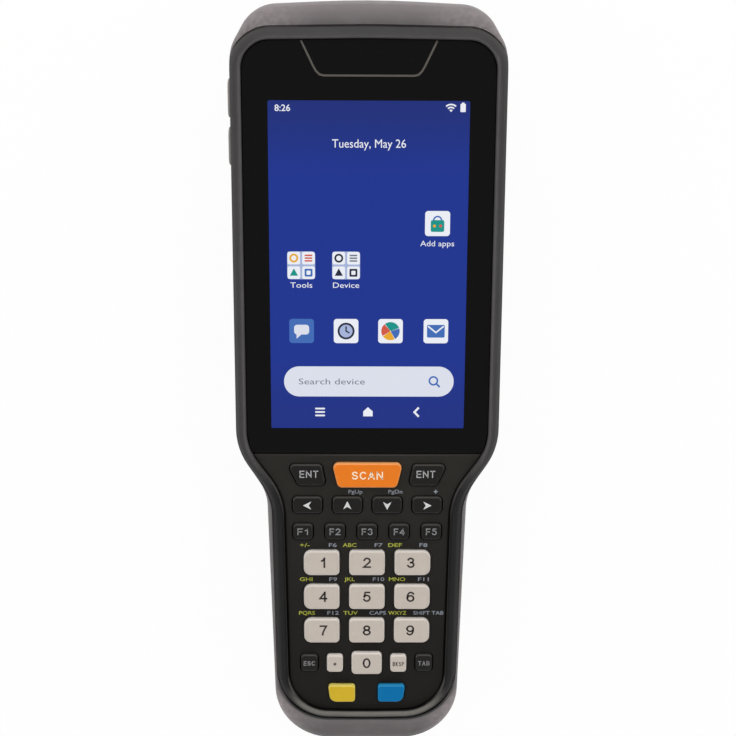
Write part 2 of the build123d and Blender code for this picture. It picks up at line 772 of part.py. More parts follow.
with BuildPart() as dock_contacts:
    with BuildSketch(Plane.XY.offset(dock_recess)):
        with Locations((0, dock_y)):
            with GridLocations(dock_pitch, 0, dock_count, 1):
                Rectangle(dock_pad[0], dock_pad[1])
    extrude(amount=-dock_pad[2])
finish(dock_contacts, "dock_contacts")

# ---- keys -------------------------------------------------------------------------------


def box_corners(size):
    """Corners of a key, from the top right one clockwise."""
    x, y = size[0] / 2, size[1] / 2
    return [(x, y), (x, -y), (-x, -y), (-x, y)]


def flipped(corners):
    """The same corners seen in a mirror."""
    return [(-x, y) for x, y in corners]


# label, centre x, centre y, corners, corner radii, level of the top
enter_middle = (enter_inner + enter_outer) / 2
enter_half = (enter_outer - enter_inner) / 2
enter_corners = [(enter_half, enter_height / 2), (enter_half - enter_slant, -enter_height / 2),
                 (-enter_half - enter_inner_slant, -enter_height / 2), (-enter_half, enter_height / 2)]
colour_half = (colour_size[0] / 2, colour_size[1] / 2)
yellow_corners = [(colour_half[0], colour_half[1]), (colour_half[0], -colour_half[1]),
                  (colour_slant - colour_half[0], -colour_half[1]), (-colour_half[0], colour_half[1])]
scan_corners = [(scan_top / 2, scan_height / 2), (scan_bottom / 2, -scan_height / 2),
                (-scan_bottom / 2, -scan_height / 2), (-scan_top / 2, scan_height / 2)]
keys = [("key_scan", 0, scan_row_y, scan_corners, [scan_radius] * 4, tall_key_z),
        ("key_enter_right", enter_middle, scan_row_y, enter_corners, [enter_radius] * 4, low_key_z),
        ("key_enter_left", -enter_middle, scan_row_y, flipped(enter_corners), [enter_radius] * 4, low_key_z)]
for index, name in enumerate(("left", "up", "down", "right")):
    x = (index - 1.5) * arrow_pitch
    keys.append((f"key_arrow_{name}", x, arrow_row_y, box_corners(arrow_size),
                 [arrow_radius] * 4, low_key_z))
for index in range(5):
    x = (index - 2) * function_pitch
    keys.append((f"key_f{index + 1}", x, function_row_y, box_corners(function_size),
                 [dark_radius] * 4, low_key_z))
for index in range(9):
    row, column = divmod(index, 3)
    outer, inner = pad_radius, number_radius
    radii = [[inner, inner, outer, outer], [inner] * 4, [outer, outer, inner, inner]][column]
    x = (column - 1) * number_pitch_x
    y = number_middle_y + (1 - row) * number_pitch_y
    keys.append((f"key_{index + 1}", x, y, box_corners(number_size), radii, tall_key_z))
yellow_radii = [colour_radius, colour_radius, pad_radius, colour_radius]
keys += [("key_0", 0, zero_row_y, box_corners(zero_size), [zero_radius] * 4, tall_key_z),
         ("key_point", -small_x, zero_row_y, box_corners(small_size), [small_radius] * 4, tall_key_z),
         ("key_backspace", small_x, zero_row_y, box_corners(small_size), [small_radius] * 4, tall_key_z),
         ("key_escape", -edge_x, zero_row_y, box_corners(edge_size), [dark_radius] * 4, low_key_z),
         ("key_tab", edge_x, zero_row_y, box_corners(edge_size), [dark_radius] * 4, low_key_z),
         ("key_yellow", -colour_x, colour_row_y, yellow_corners, yellow_radii, tall_key_z),
         ("key_blue", colour_x, colour_row_y, flipped(yellow_corners), yellow_radii, tall_key_z)]


def key_outline(x, y, corners, radii, growth=0.0):
    """Outline of a key in its place, grown on all sides."""
    with BuildSketch() as outline:
        add(closed_outline([(x + dx, y + dy) for dx, dy in corners], radii))
        if growth:
            offset(amount=growth, mode=Mode.REPLACE)
    return outline.sketch


for label, x, y, corners, radii, top_z in keys:
    with BuildPart() as key:
        with BuildSketch(Plane.XY.offset(plate_seat_z)):
            add(key_outline(x, y, corners, radii))
        extrude(amount=top_z - plate_seat_z)
        fillet(key.faces().sort_by(Axis.Z)[-1].edges(), radius=key_round)
        with BuildSketch(Plane.XY.offset(plate_seat_z)):
            add(key_outline(x, y, corners, radii, move_gap + key_lip))
        extrude(amount=-key_flange)
    finish(key, label)

# ---- keypad plate, mat, board and domes --------------------------------------------------------
with BuildPart() as keypad_plate:
    with BuildSketch(Plane.XY.offset(plate_seat_z)):
        add(rim_outline(plate_inset))
        keep_below(divide_y - divide_gap)
    extrude(amount=plate_thickness)
    chamfer(keypad_plate.faces().sort_by(Axis.Z)[-1].edges(), length=plate_bevel)
    with BuildSketch(Plane.XY.offset(plate_seat_z)):
        for label, x, y, corners, radii, top_z in keys:
            add(key_outline(x, y, corners, radii, move_gap))
    extrude(amount=plate_thickness, mode=Mode.SUBTRACT)
finish(keypad_plate, "keypad_plate")

key_spots = [(x, y) for label, x, y, corners, radii, top_z in keys]
board_top_z = frame_top_z + board_thickness
mat_top_z = board_top_z + dome_height + mat_thickness
pressed_key_z = plate_seat_z - key_flange - key_travel
with BuildPart() as keypad_board:
    with BuildSketch(Plane.XY.offset(frame_top_z)):
        add(rim_outline(frame_inset + board_inset))
        keep_below(divide_y - bar_half)
        with Locations(*heel_wells):
            Circle(boss_radius + fit_gap, mode=Mode.SUBTRACT)
    extrude(amount=board_thickness)
finish(keypad_board, "keypad_board")

with BuildPart() as key_domes:
    with BuildSketch(Plane.XY.offset(board_top_z)):
        with Locations(*key_spots):
            Circle(dome_radius)
    extrude(amount=dome_height, taper=45)
finish(key_domes, "key_domes")

with BuildPart() as keypad_mat:
    with BuildSketch(Plane.XY.offset(board_top_z + dome_height)):
        add(rim_outline(frame_inset + mat_inset))
        keep_below(divide_y - bar_half)
        with Locations(*heel_wells):
            Circle(boss_radius + fit_gap, mode=Mode.SUBTRACT)
    extrude(amount=mat_thickness)
    with BuildSketch(Plane.XY.offset(mat_top_z)):
        with Locations(*key_spots):
            Circle(mat_boss_radius)
    extrude(amount=pressed_key_z - key_rest - mat_top_z)
finish(keypad_mat, "keypad_mat")
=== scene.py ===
import json
import math
import bmesh
import bpy
from mathutils import Matrix, Vector

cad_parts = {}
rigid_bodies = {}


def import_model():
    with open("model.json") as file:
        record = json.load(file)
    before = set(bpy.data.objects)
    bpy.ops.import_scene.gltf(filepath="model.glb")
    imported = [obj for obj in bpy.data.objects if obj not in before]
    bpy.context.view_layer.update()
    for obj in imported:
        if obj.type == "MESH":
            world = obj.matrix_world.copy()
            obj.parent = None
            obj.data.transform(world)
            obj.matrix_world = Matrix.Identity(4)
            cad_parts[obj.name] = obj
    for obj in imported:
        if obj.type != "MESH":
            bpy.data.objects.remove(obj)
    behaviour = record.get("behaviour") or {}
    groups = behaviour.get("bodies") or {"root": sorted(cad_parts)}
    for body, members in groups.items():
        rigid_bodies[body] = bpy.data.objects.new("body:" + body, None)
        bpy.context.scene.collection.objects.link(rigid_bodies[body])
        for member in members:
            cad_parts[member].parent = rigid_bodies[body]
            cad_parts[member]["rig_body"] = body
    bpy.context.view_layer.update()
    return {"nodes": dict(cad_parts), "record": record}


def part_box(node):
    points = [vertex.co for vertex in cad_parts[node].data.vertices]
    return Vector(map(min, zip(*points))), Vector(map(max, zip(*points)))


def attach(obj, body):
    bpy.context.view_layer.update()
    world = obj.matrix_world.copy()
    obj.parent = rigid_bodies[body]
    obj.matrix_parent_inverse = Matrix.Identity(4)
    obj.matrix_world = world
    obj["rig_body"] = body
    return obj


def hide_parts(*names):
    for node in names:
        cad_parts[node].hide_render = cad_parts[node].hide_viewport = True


# Handheld data terminal on its back: +Y towards the head, +Z out of the screen.
# Sizes are given in millimetres and turned into metres where the meshes are made.
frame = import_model()

MM = 0.001
nodes = frame["nodes"]
slot_of = {part["node"]: part["material_slot"] for part in frame["record"]["subparts"]}


def extent(node):
    """Lowest and highest corner of a node, in millimetres."""
    low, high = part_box(node)
    return low / MM, high / MM


def middle(node):
    """Middle of a node, in millimetres."""
    low, high = extent(node)
    return (low + high) / 2


panel_top = extent("display_panel")[1].z
glass_high = extent("touch_glass")[1]
plate_low, plate_high = extent("keypad_plate")
rim_low, rim_high = extent("front_housing")

# ---- screen: the lit picture inside the display panel ----
picture_width = 56.8
picture_length = 95.0
picture_x = 0.0
picture_y = middle("display_panel").y - 0.28
picture_head = picture_y + picture_length / 2
picture_corner = 0.6
clear_margin = 0.1            # of clear glass round the picture
picture_tuck = 0.3            # how far the lit picture reaches under the black print

# ---- printed and lit shapes ----
ink_thickness = 0.004
ink_sink = 0.001              # how far a shape reaches into what carries it
layer_step = 0.012            # between shapes that lie on one another
screen_gap = 0.02             # from the display panel to the picture
symbols_gap = 0.01            # from the picture to the symbols on it
font_cap_height = 0.682       # of the built-in font at size 1

# ---- skins of the solid pieces ----
skin_weld = 0.001             # corners nearer than this become one
sharp_edge = math.radians(28)

# ---- colours ----


def srgb(red, green, blue):
    """A colour given from 0 to 255 as the linear values that Blender takes."""
    def linear(value):
        value /= 255
        return value / 12.92 if value <= 0.04045 else ((value + 0.055) / 1.055) ** 2.4
    return linear(red), linear(green), linear(blue), 1.0


def shaded(colour, factor):
    """The same colour, darker or lighter."""
    return tuple(min(1.0, channel * factor) for channel in colour[:3]) + (1.0,)


# ---- node trees ----


class Signal:
    """A value in a node tree. Arithmetic on it adds the Math nodes."""

    def __init__(self, tree, socket):
        self.tree = tree
        self.socket = socket

    def math(self, operation, first, second=0.0, clamp=False):
        settings = {"operation": operation, "use_clamp": clamp}
        return self.tree.node("ShaderNodeMath", settings, {0: first, 1: second})

    def other(self, key):
        """Another output of the node that this value comes from."""
        return Signal(self.tree, Tree.find(self.socket.node.outputs, key))

    def __add__(self, value):
        return self.math("ADD", self, value)

    def __sub__(self, value):
        return self.math("SUBTRACT", self, value)

    def __rsub__(self, value):
        return self.math("SUBTRACT", value, self)

    def __mul__(self, value):
        return self.math("MULTIPLY", self, value)

    def __truediv__(self, value):
        return self.math("DIVIDE", self, value)

    def __pow__(self, value):
        return self.math("POWER", self, value)

    def __abs__(self):
        return self.math("ABSOLUTE", self)

    __radd__ = __add__
    __rmul__ = __mul__

    def larger(self, value):
        return self.math("MAXIMUM", self, value)

    def clamped(self):
        return self.math("ADD", self, 0.0, clamp=True)

    def between(self, low, high):
        """0 below the low value, 1 above the high one, and a smooth step between them."""
        inputs = {"Value": self, "From Min": low, "From Max": high}
        return self.tree.node("ShaderNodeMapRange", {"interpolation_type": "SMOOTHSTEP"}, inputs)


def length(across, along):
    """Length of a step given by its two parts."""
    return (across * across + along * along) ** 0.5


class Tree:
    """A node tree that is being built, with one method that makes any node."""

    def __init__(self, tree):
        self.tree = tree
        tree.nodes.clear()

    @staticmethod
    def find(sockets, key):
        """A socket by its number, its identifier or its name."""
        if isinstance(key, int):
            return sockets[key]
        return next((s for s in sockets if s.identifier == key), None) or sockets[key]

    def node(self, kind, settings=None, inputs=None, output=0):
        """Add a node: its settings first, then the values or links of its sockets."""
        node = self.tree.nodes.new(kind)
        for name, value in (settings or {}).items():
            setattr(node, name, value)
        for key, value in (inputs or {}).items():
            socket = self.find(node.inputs, key)
            if isinstance(value, Signal):
                self.tree.links.new(value.socket, socket)
            else:
                socket.default_value = value
        return Signal(self, self.find(node.outputs, output)) if len(node.outputs) else node


class Finish(Tree):
    """A material that is being made. Its patterns lie on the object's own coordinates."""

    def __init__(self, name):
        self.material = bpy.data.materials.new(name)
        self.material.use_nodes = True
        super().__init__(self.material.node_tree)
        self.place = self.node("ShaderNodeTexCoord", output="Object")

    def axis(self, name):
        """Place along X, Y or Z, in millimetres."""
        return self.node("ShaderNodeSeparateXYZ", inputs={0: self.place}, output=name) / MM

    def distance_from(self, centre):
        """Distance from an upright line through a point, in millimetres."""
        return length(self.axis("X") - centre.x, self.axis("Y") - centre.y)

    def normal(self, name):
        """How far the surface faces along X, Y or Z, from -1 to 1."""
        normal = self.node("ShaderNodeNewGeometry", output="Normal")
        return self.node("ShaderNodeSeparateXYZ", inputs={0: normal}, output=name)

    def noise(self, size, detail, stretch=(1, 1, 1)):
        """Cloudy pattern from 0 to 1 whose patches are about the given size in millimetres."""
        place = self.node("ShaderNodeMapping", inputs={"Vector": self.place, "Scale": stretch})
        inputs = {"Vector": place, "Scale": 1 / (size * MM), "Detail": detail}
        return self.node("ShaderNodeTexNoise", inputs=inputs)

    def cells(self, size):
        """Distance from the middle of irregular cells of the given size in millimetres."""
        inputs = {"Vector": self.place, "Scale": 1 / (size * MM)}
        return self.node("ShaderNodeTexVoronoi", inputs=inputs, output="Distance")

    def mixed(self, share, first, second):
        """Colour between two colours."""
        inputs = {"Factor_Float": share, "A_Color": first, "B_Color": second}
        return self.node("ShaderNodeMix", {"data_type": "RGBA"}, inputs, "Result_Color")

    def layered(self, base, *layers):
        """Colours laid over the base, each as far as its mask says."""
        for mask, colour in layers:
            base = self.mixed(mask, base, colour)
        return base

    def toned(self, share, colour, first, second):
        """The colour between two tones of itself."""
        return self.mixed(share, shaded(colour, first), shaded(colour, second))

    def bump(self, height, depth, strength):
        """Normal of a surface with small heights of the given depth in millimetres."""
        inputs = {"Height": height, "Distance": depth * MM, "Strength": strength}
        return self.node("ShaderNodeBump", inputs=inputs)

    def surface(self, **sockets):
        """End the material in one shader. Underscores in a socket's name stand for spaces."""
        inputs = {name.replace("_", " "): value for name, value in sockets.items()}
        shader = self.node("ShaderNodeBsdfPrincipled", inputs=inputs)
        self.node("ShaderNodeOutputMaterial", inputs={"Surface": shader})
        return self.material

    def grained(self, base, roughness, gloss, grain, depth, strength):
        """End the material in a plastic or rubber whose grain stands in the surface."""
        return self.surface(Base_Color=base, Roughness=roughness, Specular_IOR_Level=gloss,
                            Normal=self.bump(grain, depth, strength))


# ---- finishes of the plastics ----


def moulded_plastic(name, colour, roughness=0.5, grain=0.3, lightened=0.12):
    """Moulded plastic: spark-eroded grain, faint cloudiness, and paler patches where hands rub it."""
    finish = Finish(name)
    speckle = finish.noise(grain, 2)
    patches = finish.noise(5, 5).between(0.52, 0.72)
    base = finish.layered(
        finish.toned(finish.noise(14, 3), colour, 0.86, 1.16),
        (patches * lightened, shaded(colour, 1.9)))
    rough = roughness + (speckle - 0.5) * 0.16 - patches * 0.07
    return finish.grained(base, rough, 0.4, speckle, 0.012, 0.8)


def foot_distance(finish):
    """How far a place lies outside the rim round the foot, in millimetres."""
    radius = 16.0             # of the rim's corners at the foot
    corners = [vertex.co / MM for vertex in nodes["front_housing"].data.vertices]
    half = max(abs(corner.x) for corner in corners if corner.y < rim_low.y + radius)
    over_x = (abs(finish.axis("X")) - (half - radius)).larger(0)
    over_y = (rim_low.y + radius - finish.axis("Y")).larger(0)
    return length(over_x, over_y) - radius


def housing_plastic(colour):
    """Grained plastic of the rear housing, with pale patches where it is touched, painted shade and painted
    light on the hood and the chin, and a painted shadow along the rim round the foot.
    """
    finish = Finish("housing_plastic")
    high = extent("rear_housing")[1]
    x, y, z = (finish.axis(name) for name in "XYZ")
    speckle = finish.noise(0.45, 2)
    patches = finish.noise(5, 5).between(0.52, 0.72)
    dust = finish.noise(1.6, 6).between(0.35, 0.68)
    sides = abs(x).between(12, 34)
    # hood round the head: how far below the rim, painted light on its far part, and painted light that lifts
    # the shade in the groove along the rim
    hood = y.between(rim_high.y - 9, rim_high.y - 1)
    below_rim = (high.z - 0.2 - z) / 5
    lightened = z.between(high.z - 14, high.z - 7) * below_rim.clamped()
    inward = 0 - finish.normal("X") * x / high.x - finish.normal("Y") * y / high.y
    # painted light that lifts the shade in the groove along the rim
    lit_groove = finish.normal("Z").between(0.97, 0.99).larger(inward.between(0.5, 0.8))
    lit_groove = lit_groove * (1 - z.between(high.z - 0.15, high.z - 0.05))
    # chin round the foot: painted light and shade on it, its worn corners, and a painted shadow in the seam
    # along the rim
    chin = (1 - y.between(rim_low.y + 3, rim_low.y + 13)) * z.between(high.z - 16, high.z - 9)
    away = foot_distance(finish)
    corners = abs(x).between(15, 28) * away.between(0.8, 2.4) * z.between(high.z - 12, high.z - 5)
    seam_shadow = away.between(-0.2, 0.1) * (1 - away.between(1.0, 1.35))
    base = finish.layered(
        finish.toned(finish.noise(14, 3), colour, 0.9, 1.1),
        (patches * 0.12, shaded(colour, 1.8)),
        # painted shade: the hood darker by the rim and in its middle
        (hood * (1 - below_rim * 1.6 - sides * 0.3).clamped() * 0.75, shaded(colour, 0.35)),
        # painted light on the far part of the hood, with dust at its sides
        (hood * (lightened * 0.8 + sides * (0.3 + dust * 0.4)).clamped(), shaded(colour, 1.9)),
        # painted light in the groove along the rim
        (hood * lit_groove, shaded(colour, 2.4)),
        # painted light on the chin next to the rim, and painted shade further out
        (chin * (1 - away.between(1.0, 4.0)) * 0.35, shaded(colour, 1.9)),
        (chin * away.between(2.0, 7.0) * (1 - sides) * 0.4, shaded(colour, 0.5)),
        (chin * corners * (0.5 + dust * 0.4), shaded(colour, 2.9)),
        # painted shadow in the seam along the rim
        (chin * seam_shadow * 0.9, srgb(10, 10, 10)))
    rough = 0.54 + (speckle - 0.5) * 0.16 - patches * 0.07
    return finish.grained(base, rough, 0.35, speckle, 0.02, 0.9)


def rim_plastic(head_colour, shaded_handle_colour, painted_foot_tone):
    """Plastic of the front housing, with painted shade along the handle and on its outer facets, a painted
    highlight on the crest round the foot, wear with a painted highlight along the crest, and painted light on
    the inner wall along the handle.
    """
    finish = Finish("rim_plastic")
    x, y, z = (finish.axis(name) for name in "XYZ")
    speckle = finish.noise(0.3, 2)
    scuffs = finish.noise(1.4, 5, (1, 0.35, 1)).between(0.5, 0.68)
    handle = 1 - y.between(plate_high.y - 14, plate_high.y + 4)
    foot = 1 - y.between(plate_low.y + 1, plate_low.y + 9)
    crown = z.between(rim_high.z - 0.9, rim_high.z - 0.2)
    # crest worn by hands, with a painted highlight along it
    wear_and_highlight = crown * (0.35 + scuffs * 0.65) * (1 - handle * 0.8)
    facing_side = finish.normal("X") * x / rim_high.x
    facing_end = finish.normal("Y") * y / rim_high.y
    shaded_outer_facets = facing_side.between(0.35, 0.6).larger(facing_end.between(0.1, 0.3))
    lit_inner_wall = 1 - (facing_side + facing_end).between(-0.8, -0.5)
    base = finish.layered(
        # painted shade: the rim along the handle darker than at the head
        finish.mixed(handle, head_colour, shaded_handle_colour),
        # painted highlight on the crest round the foot
        (foot * crown, painted_foot_tone),
        (finish.noise(12, 3) * 0.3, shaded(shaded_handle_colour, 0.8)),
        (wear_and_highlight * 0.15, shaded(head_colour, 1.6)),
        # painted shade on the outer facets of the rim
        (shaded_outer_facets * (1 - foot) * 0.5, shaded(shaded_handle_colour, 0.9)),
        # painted light on the inner wall of the rim along the handle
        (lit_inner_wall * handle * (1 - foot) * 0.9, srgb(84, 82, 80)))
    rough = 0.56 + (speckle - 0.5) * 0.14 - wear_and_highlight * 0.14
    return finish.grained(base, rough, 0.12, speckle, 0.01, 0.8)


def key_plastic(name, colour, edge_highlight_colour, roughness=0.42, gloss=0.4, dots=0.1, all_round=1.0):
    """Key cap: satin top with a fine speckle, and a painted highlight on the rounded edges, above all towards
    the head.
    """
    finish = Finish(name)
    speckle = finish.noise(0.22, 2)
    # painted highlight on the rounded edges, strongest on the side towards the head
    edge_highlight = (1 - finish.normal("Z")).between(0.02, 0.5)
    edge_highlight = edge_highlight * (finish.normal("Y").between(0.1, 0.5) + all_round).clamped()
    base = finish.layered(
        finish.toned(finish.noise(3.5, 2), colour, 0.95, 1.05),
        (speckle.between(0.5, 0.7) * dots, shaded(colour, 0.6)),
        (edge_highlight * 0.85, edge_highlight_colour))
    return finish.grained(base, roughness + (speckle - 0.5) * 0.12, gloss, speckle, 0.006, 0.6)


def keypad_film(head_colour, painted_foot_tone):
    """Satin black plate round the keys, with fine grain and a few faint wipe marks."""
    finish = Finish("keypad_film")
    speckle = finish.noise(0.28, 2)
    wipes = finish.noise(9, 4, (1, 0.18, 1)).between(0.45, 0.75)
    # painted shade along the plate: lighter towards the head, darker towards the foot
    base = finish.mixed(finish.axis("Y").between(plate_low.y, plate_high.y), painted_foot_tone, head_colour)
    base = finish.layered(base, (finish.noise(10, 2) * 0.4, shaded(painted_foot_tone, 0.7)))
    rough = 0.46 + (speckle - 0.5) * 0.12 - wipes * 0.06
    return finish.grained(base, rough, 0.25, speckle, 0.008, 0.7)


def soft_rubber(name, colour):
    """Matt rubber with a dusty bloom."""
    finish = Finish(name)
    dust = finish.noise(2.2, 5)
    speckle = finish.noise(0.18, 2)
    base = finish.mixed(dust.between(0.45, 0.8), colour, shaded(colour, 2.0))
    return finish.grained(base, 0.78 + (speckle - 0.5) * 0.1, 0.3, speckle, 0.01, 0.6)


# ---- finishes of the metals and boards ----


def brushed_metal(name, colour, roughness):
    """Metal with fine brushing along the terminal."""
    finish = Finish(name)
    brushing = finish.noise(0.12, 3, (1, 0.05, 1))
    base = finish.toned(finish.noise(6, 3), colour, 0.85, 1.1)
    return finish.surface(Base_Color=base, Metallic=1.0, Roughness=roughness + (brushing - 0.5) * 0.25,
                          Normal=finish.bump(brushing, 0.004, 0.5))


def cast_metal(name, colour):
    """Die-cast light metal with a slightly pitted skin."""
    finish = Finish(name)
    clouds = finish.noise(8, 4)
    base = finish.toned(clouds, colour, 0.8, 1.1)
    return finish.surface(Base_Color=base, Metallic=1.0, Roughness=0.42 + clouds * 0.2,
                          Normal=finish.bump(finish.cells(0.5), 0.02, 0.4))


def circuit_board():
    """Green solder mask with rows of paler tracks."""
    finish = Finish("circuit_board")
    x = finish.axis("X")
    y = finish.axis("Y")
    rows = finish.noise(7, 1, (1, 0.3, 1)).between(0.48, 0.52)
    track_pitch = 1.1
    across = abs((x + rows * 0.5).math("PINGPONG", x + y * rows, track_pitch) - track_pitch / 2)
    tracks = 1 - across.between(0.08, 0.16)
    base = finish.mixed(tracks * 0.6, srgb(18, 66, 38), srgb(46, 118, 66))
    return finish.surface(Base_Color=base, Roughness=0.36 + tracks * 0.08, Coat_Weight=0.4,
                          Normal=finish.bump(tracks, 0.02, 0.5))


# ---- finishes of glass, windows and the picture ----


def picture_mask(finish):
    """1 over the lit picture and 0 outside it, with rounded corners."""
    half_x = picture_width / 2 + clear_margin - picture_corner
    half_y = picture_length / 2 + clear_margin - picture_corner
    over_x = (abs(finish.axis("X") - picture_x) - half_x).larger(0)
    over_y = (abs(finish.axis("Y") - picture_y) - half_y).larger(0)
    return 1 - length(over_x, over_y).between(picture_corner - 0.04, picture_corner + 0.04)


def screen_glass():
    """Hardened glass, clear over the picture and printed black from behind round it."""
    finish = Finish("screen_glass")
    smears = finish.noise(16, 4, (1, 0.45, 1)).between(0.5, 0.8)
    dust = finish.noise(0.5, 1).between(0.74, 0.8)
    base = finish.mixed(dust * 0.4, srgb(8, 7, 7), srgb(52, 50, 48))
    return finish.surface(Base_Color=base, Roughness=0.07 + smears * 0.05, Specular_IOR_Level=0.22,
                          Alpha=1 - picture_mask(finish) * 0.96)


def lit_picture():
    """Background of the screen: deep blue, greyer along its head and foot."""
    finish = Finish("lit_picture")
    along = (finish.axis("Y") - picture_y) / (picture_length / 2)
    across = abs(finish.axis("X") / (picture_width / 2)) ** 2
    blue = finish.layered(
        srgb(35, 56, 145), (across * 0.5, srgb(38, 58, 147)),
        (along.between(0.5, 1.0), srgb(38, 52, 122)),
        ((0 - along).between(0.5, 0.95), srgb(38, 54, 133)),
        (finish.noise(4, 2) * 0.12, srgb(46, 62, 158)))
    return finish.surface(Base_Color=srgb(4, 5, 10), Roughness=0.35, Specular_IOR_Level=0.0,
                          Emission_Color=blue, Emission_Strength=1.0)


def panel_border():
    """Dark edge of the display panel round the picture."""
    finish = Finish("panel_border")
    speckle = finish.noise(0.4, 2)
    base = finish.mixed(speckle, srgb(10, 10, 12), srgb(18, 18, 22))
    return finish.surface(Base_Color=base, Roughness=0.3 + speckle * 0.1)


def tinted_window(name, colour, gloss_colour):
    """Polished window of tinted plastic with a faint inner sheen."""
    finish = Finish(name)
    sheen = finish.noise(6, 2)
    return finish.surface(Base_Color=finish.mixed(sheen, colour, gloss_colour), Roughness=0.06 + sheen * 0.04,
                          Coat_Weight=0.6, Coat_Roughness=0.03)


def lens_glass():
    """Camera cover: black ring round a dark coated lens."""
    finish = Finish("lens_glass")
    radius = finish.distance_from(middle("camera_window"))
    iris = 1 - radius.between(1.2, 1.35)
    ring = radius.between(1.9, 2.0) * (1 - radius.between(2.1, 2.2))
    base = finish.layered(srgb(9, 9, 11), (iris, srgb(22, 20, 48)), (ring, srgb(60, 60, 64)))
    return finish.surface(Base_Color=base, Roughness=0.05 + ring * 0.2, Coat_Weight=0.8, Coat_Roughness=0.02)


def flash_diffuser():
    """Milky lens of the flash with fine concentric rings."""
    finish = Finish("flash_diffuser")
    radius = finish.distance_from(middle("flash_lens"))
    rings = abs((radius * 18).math("SINE", radius * 18))
    core = 1 - radius.between(0.6, 1.1)
    base = finish.mixed(core, srgb(226, 222, 206), srgb(236, 210, 96))
    return finish.surface(Base_Color=base, Roughness=0.18 + rings * 0.1, Coat_Weight=0.5,
                          Normal=finish.bump(rings, 0.05, 0.6))


# ---- inks and lit symbols ----


def ink(name, red, green, blue):
    """Printed ink, a little uneven in strength."""
    finish = Finish(name)
    uneven = finish.noise(0.25, 3)
    base = finish.toned(uneven, srgb(red, green, blue), 0.82, 1.12)
    return finish.surface(Base_Color=base, Roughness=0.55 + (uneven - 0.5) * 0.1, Specular_IOR_Level=0.3)


def lit(name, red, green, blue):
    """Lit shape on the screen."""
    finish = Finish(name)
    glow = finish.toned(finish.noise(1.5, 1) * 0.2, srgb(red, green, blue), 1.0, 0.9)
    return finish.surface(Base_Color=srgb(4, 4, 6), Roughness=0.4, Specular_IOR_Level=0.0,
                          Emission_Color=glow, Emission_Strength=1.0)


side_key_plastic = moulded_plastic("side_key_plastic", srgb(52, 50, 50))
pale_key_plastic = moulded_plastic("pale_key_plastic", srgb(132, 128, 125))
finishes = {
    "rear_shell": housing_plastic(srgb(92, 86, 87)),
    "front_shell": rim_plastic(srgb(84, 82, 82), srgb(20, 19, 19), srgb(118, 115, 109)),
    "keypad_black": keypad_film(srgb(37, 35, 31), srgb(15, 13, 10)),
    "key_dark": key_plastic("dark_key", srgb(22, 21, 19), srgb(66, 64, 60), roughness=0.44, gloss=0.25,
                            dots=0.3, all_round=0.1),
    "key_light": key_plastic("light_key", srgb(190, 180, 170), srgb(226, 220, 212), dots=0.25),
    "key_orange": key_plastic("orange_key", srgb(226, 118, 16), srgb(250, 178, 112)),
    "key_yellow_plastic": key_plastic("yellow_key", srgb(202, 170, 30), srgb(226, 212, 110)),
    "key_blue_plastic": key_plastic("blue_key", srgb(0, 106, 162), srgb(44, 142, 190), gloss=0.15),
    "trigger_orange": moulded_plastic("trigger_plastic", srgb(228, 118, 24), 0.45, lightened=0.06),
    "battery_black": moulded_plastic("battery_plastic", srgb(48, 47, 47), 0.55, grain=0.4),
    "module_black": moulded_plastic("module_plastic", srgb(34, 34, 35)),
    "seal_rubber": soft_rubber("seal_rubber", srgb(20, 19, 19)),
    "silicone": soft_rubber("keypad_silicone", srgb(44, 43, 43)),
    "steel": brushed_metal("brushed_steel", srgb(176, 176, 178), 0.32),
    "gold": brushed_metal("gold_plate", srgb(226, 190, 110), 0.22),
    "frame_metal": cast_metal("cast_frame", srgb(172, 173, 176)),
    "board_green": circuit_board(),
    "screen_glass": screen_glass(),
    "display": panel_border(),
    "scan_red": tinted_window("scan_window_red", srgb(58, 6, 8), srgb(92, 10, 12)),
    "lens_dark": lens_glass(),
    "lens_clear": flash_diffuser(),
}
side_keys = {"power_button": side_key_plastic, "battery_release": side_key_plastic,
             "volume_up": pale_key_plastic, "volume_down": pale_key_plastic}
picture_blue = lit_picture()
white_ink = ink("white_ink", 206, 206, 206)
grey_ink = ink("grey_ink", 168, 168, 170)
shift_ink = ink("yellow_ink", 162, 166, 60)
function_ink = ink("pale_blue_ink", 138, 143, 153)
digit_ink = ink("dark_ink", 48, 41, 39)
soft_ink = ink("brown_ink", 90, 79, 75)
dim_ink = ink("dim_ink", 136, 136, 138)
label_ink = ink("cream_ink", 250, 228, 200)
frame_ink = ink("warm_grey_ink", 82, 78, 73)
lit_white = lit("lit_white", 240, 243, 250)
lit_paper = lit("lit_paper", 224, 228, 240)
lit_grey = lit("lit_grey", 118, 124, 140)
lit_shade = lit("lit_shade", 44, 48, 66)
lit_mist = lit("lit_mist", 170, 184, 222)
lit_sky = lit("lit_sky", 70, 112, 186)
lit_teal = lit("lit_teal", 34, 150, 140)
lit_amber = lit("lit_amber", 236, 172, 52)
lit_coral = lit("lit_coral", 214, 92, 74)


# ---- skins of the moulded and machined pieces ----


def plain_object(name, mesh):
    """New object at the origin."""
    piece = bpy.data.objects.new(name, mesh)
    bpy.context.scene.collection.objects.link(piece)
    return piece


def applied(piece):
    """Turn a piece with live modifiers into one plain mesh and drop the modifiers."""
    view = bpy.context.evaluated_depsgraph_get()
    mesh = bpy.data.meshes.new_from_object(piece.evaluated_get(view), preserve_all_data_layers=True,
                                           depsgraph=view)
    piece.modifiers.clear()
    piece.data = mesh
    return piece


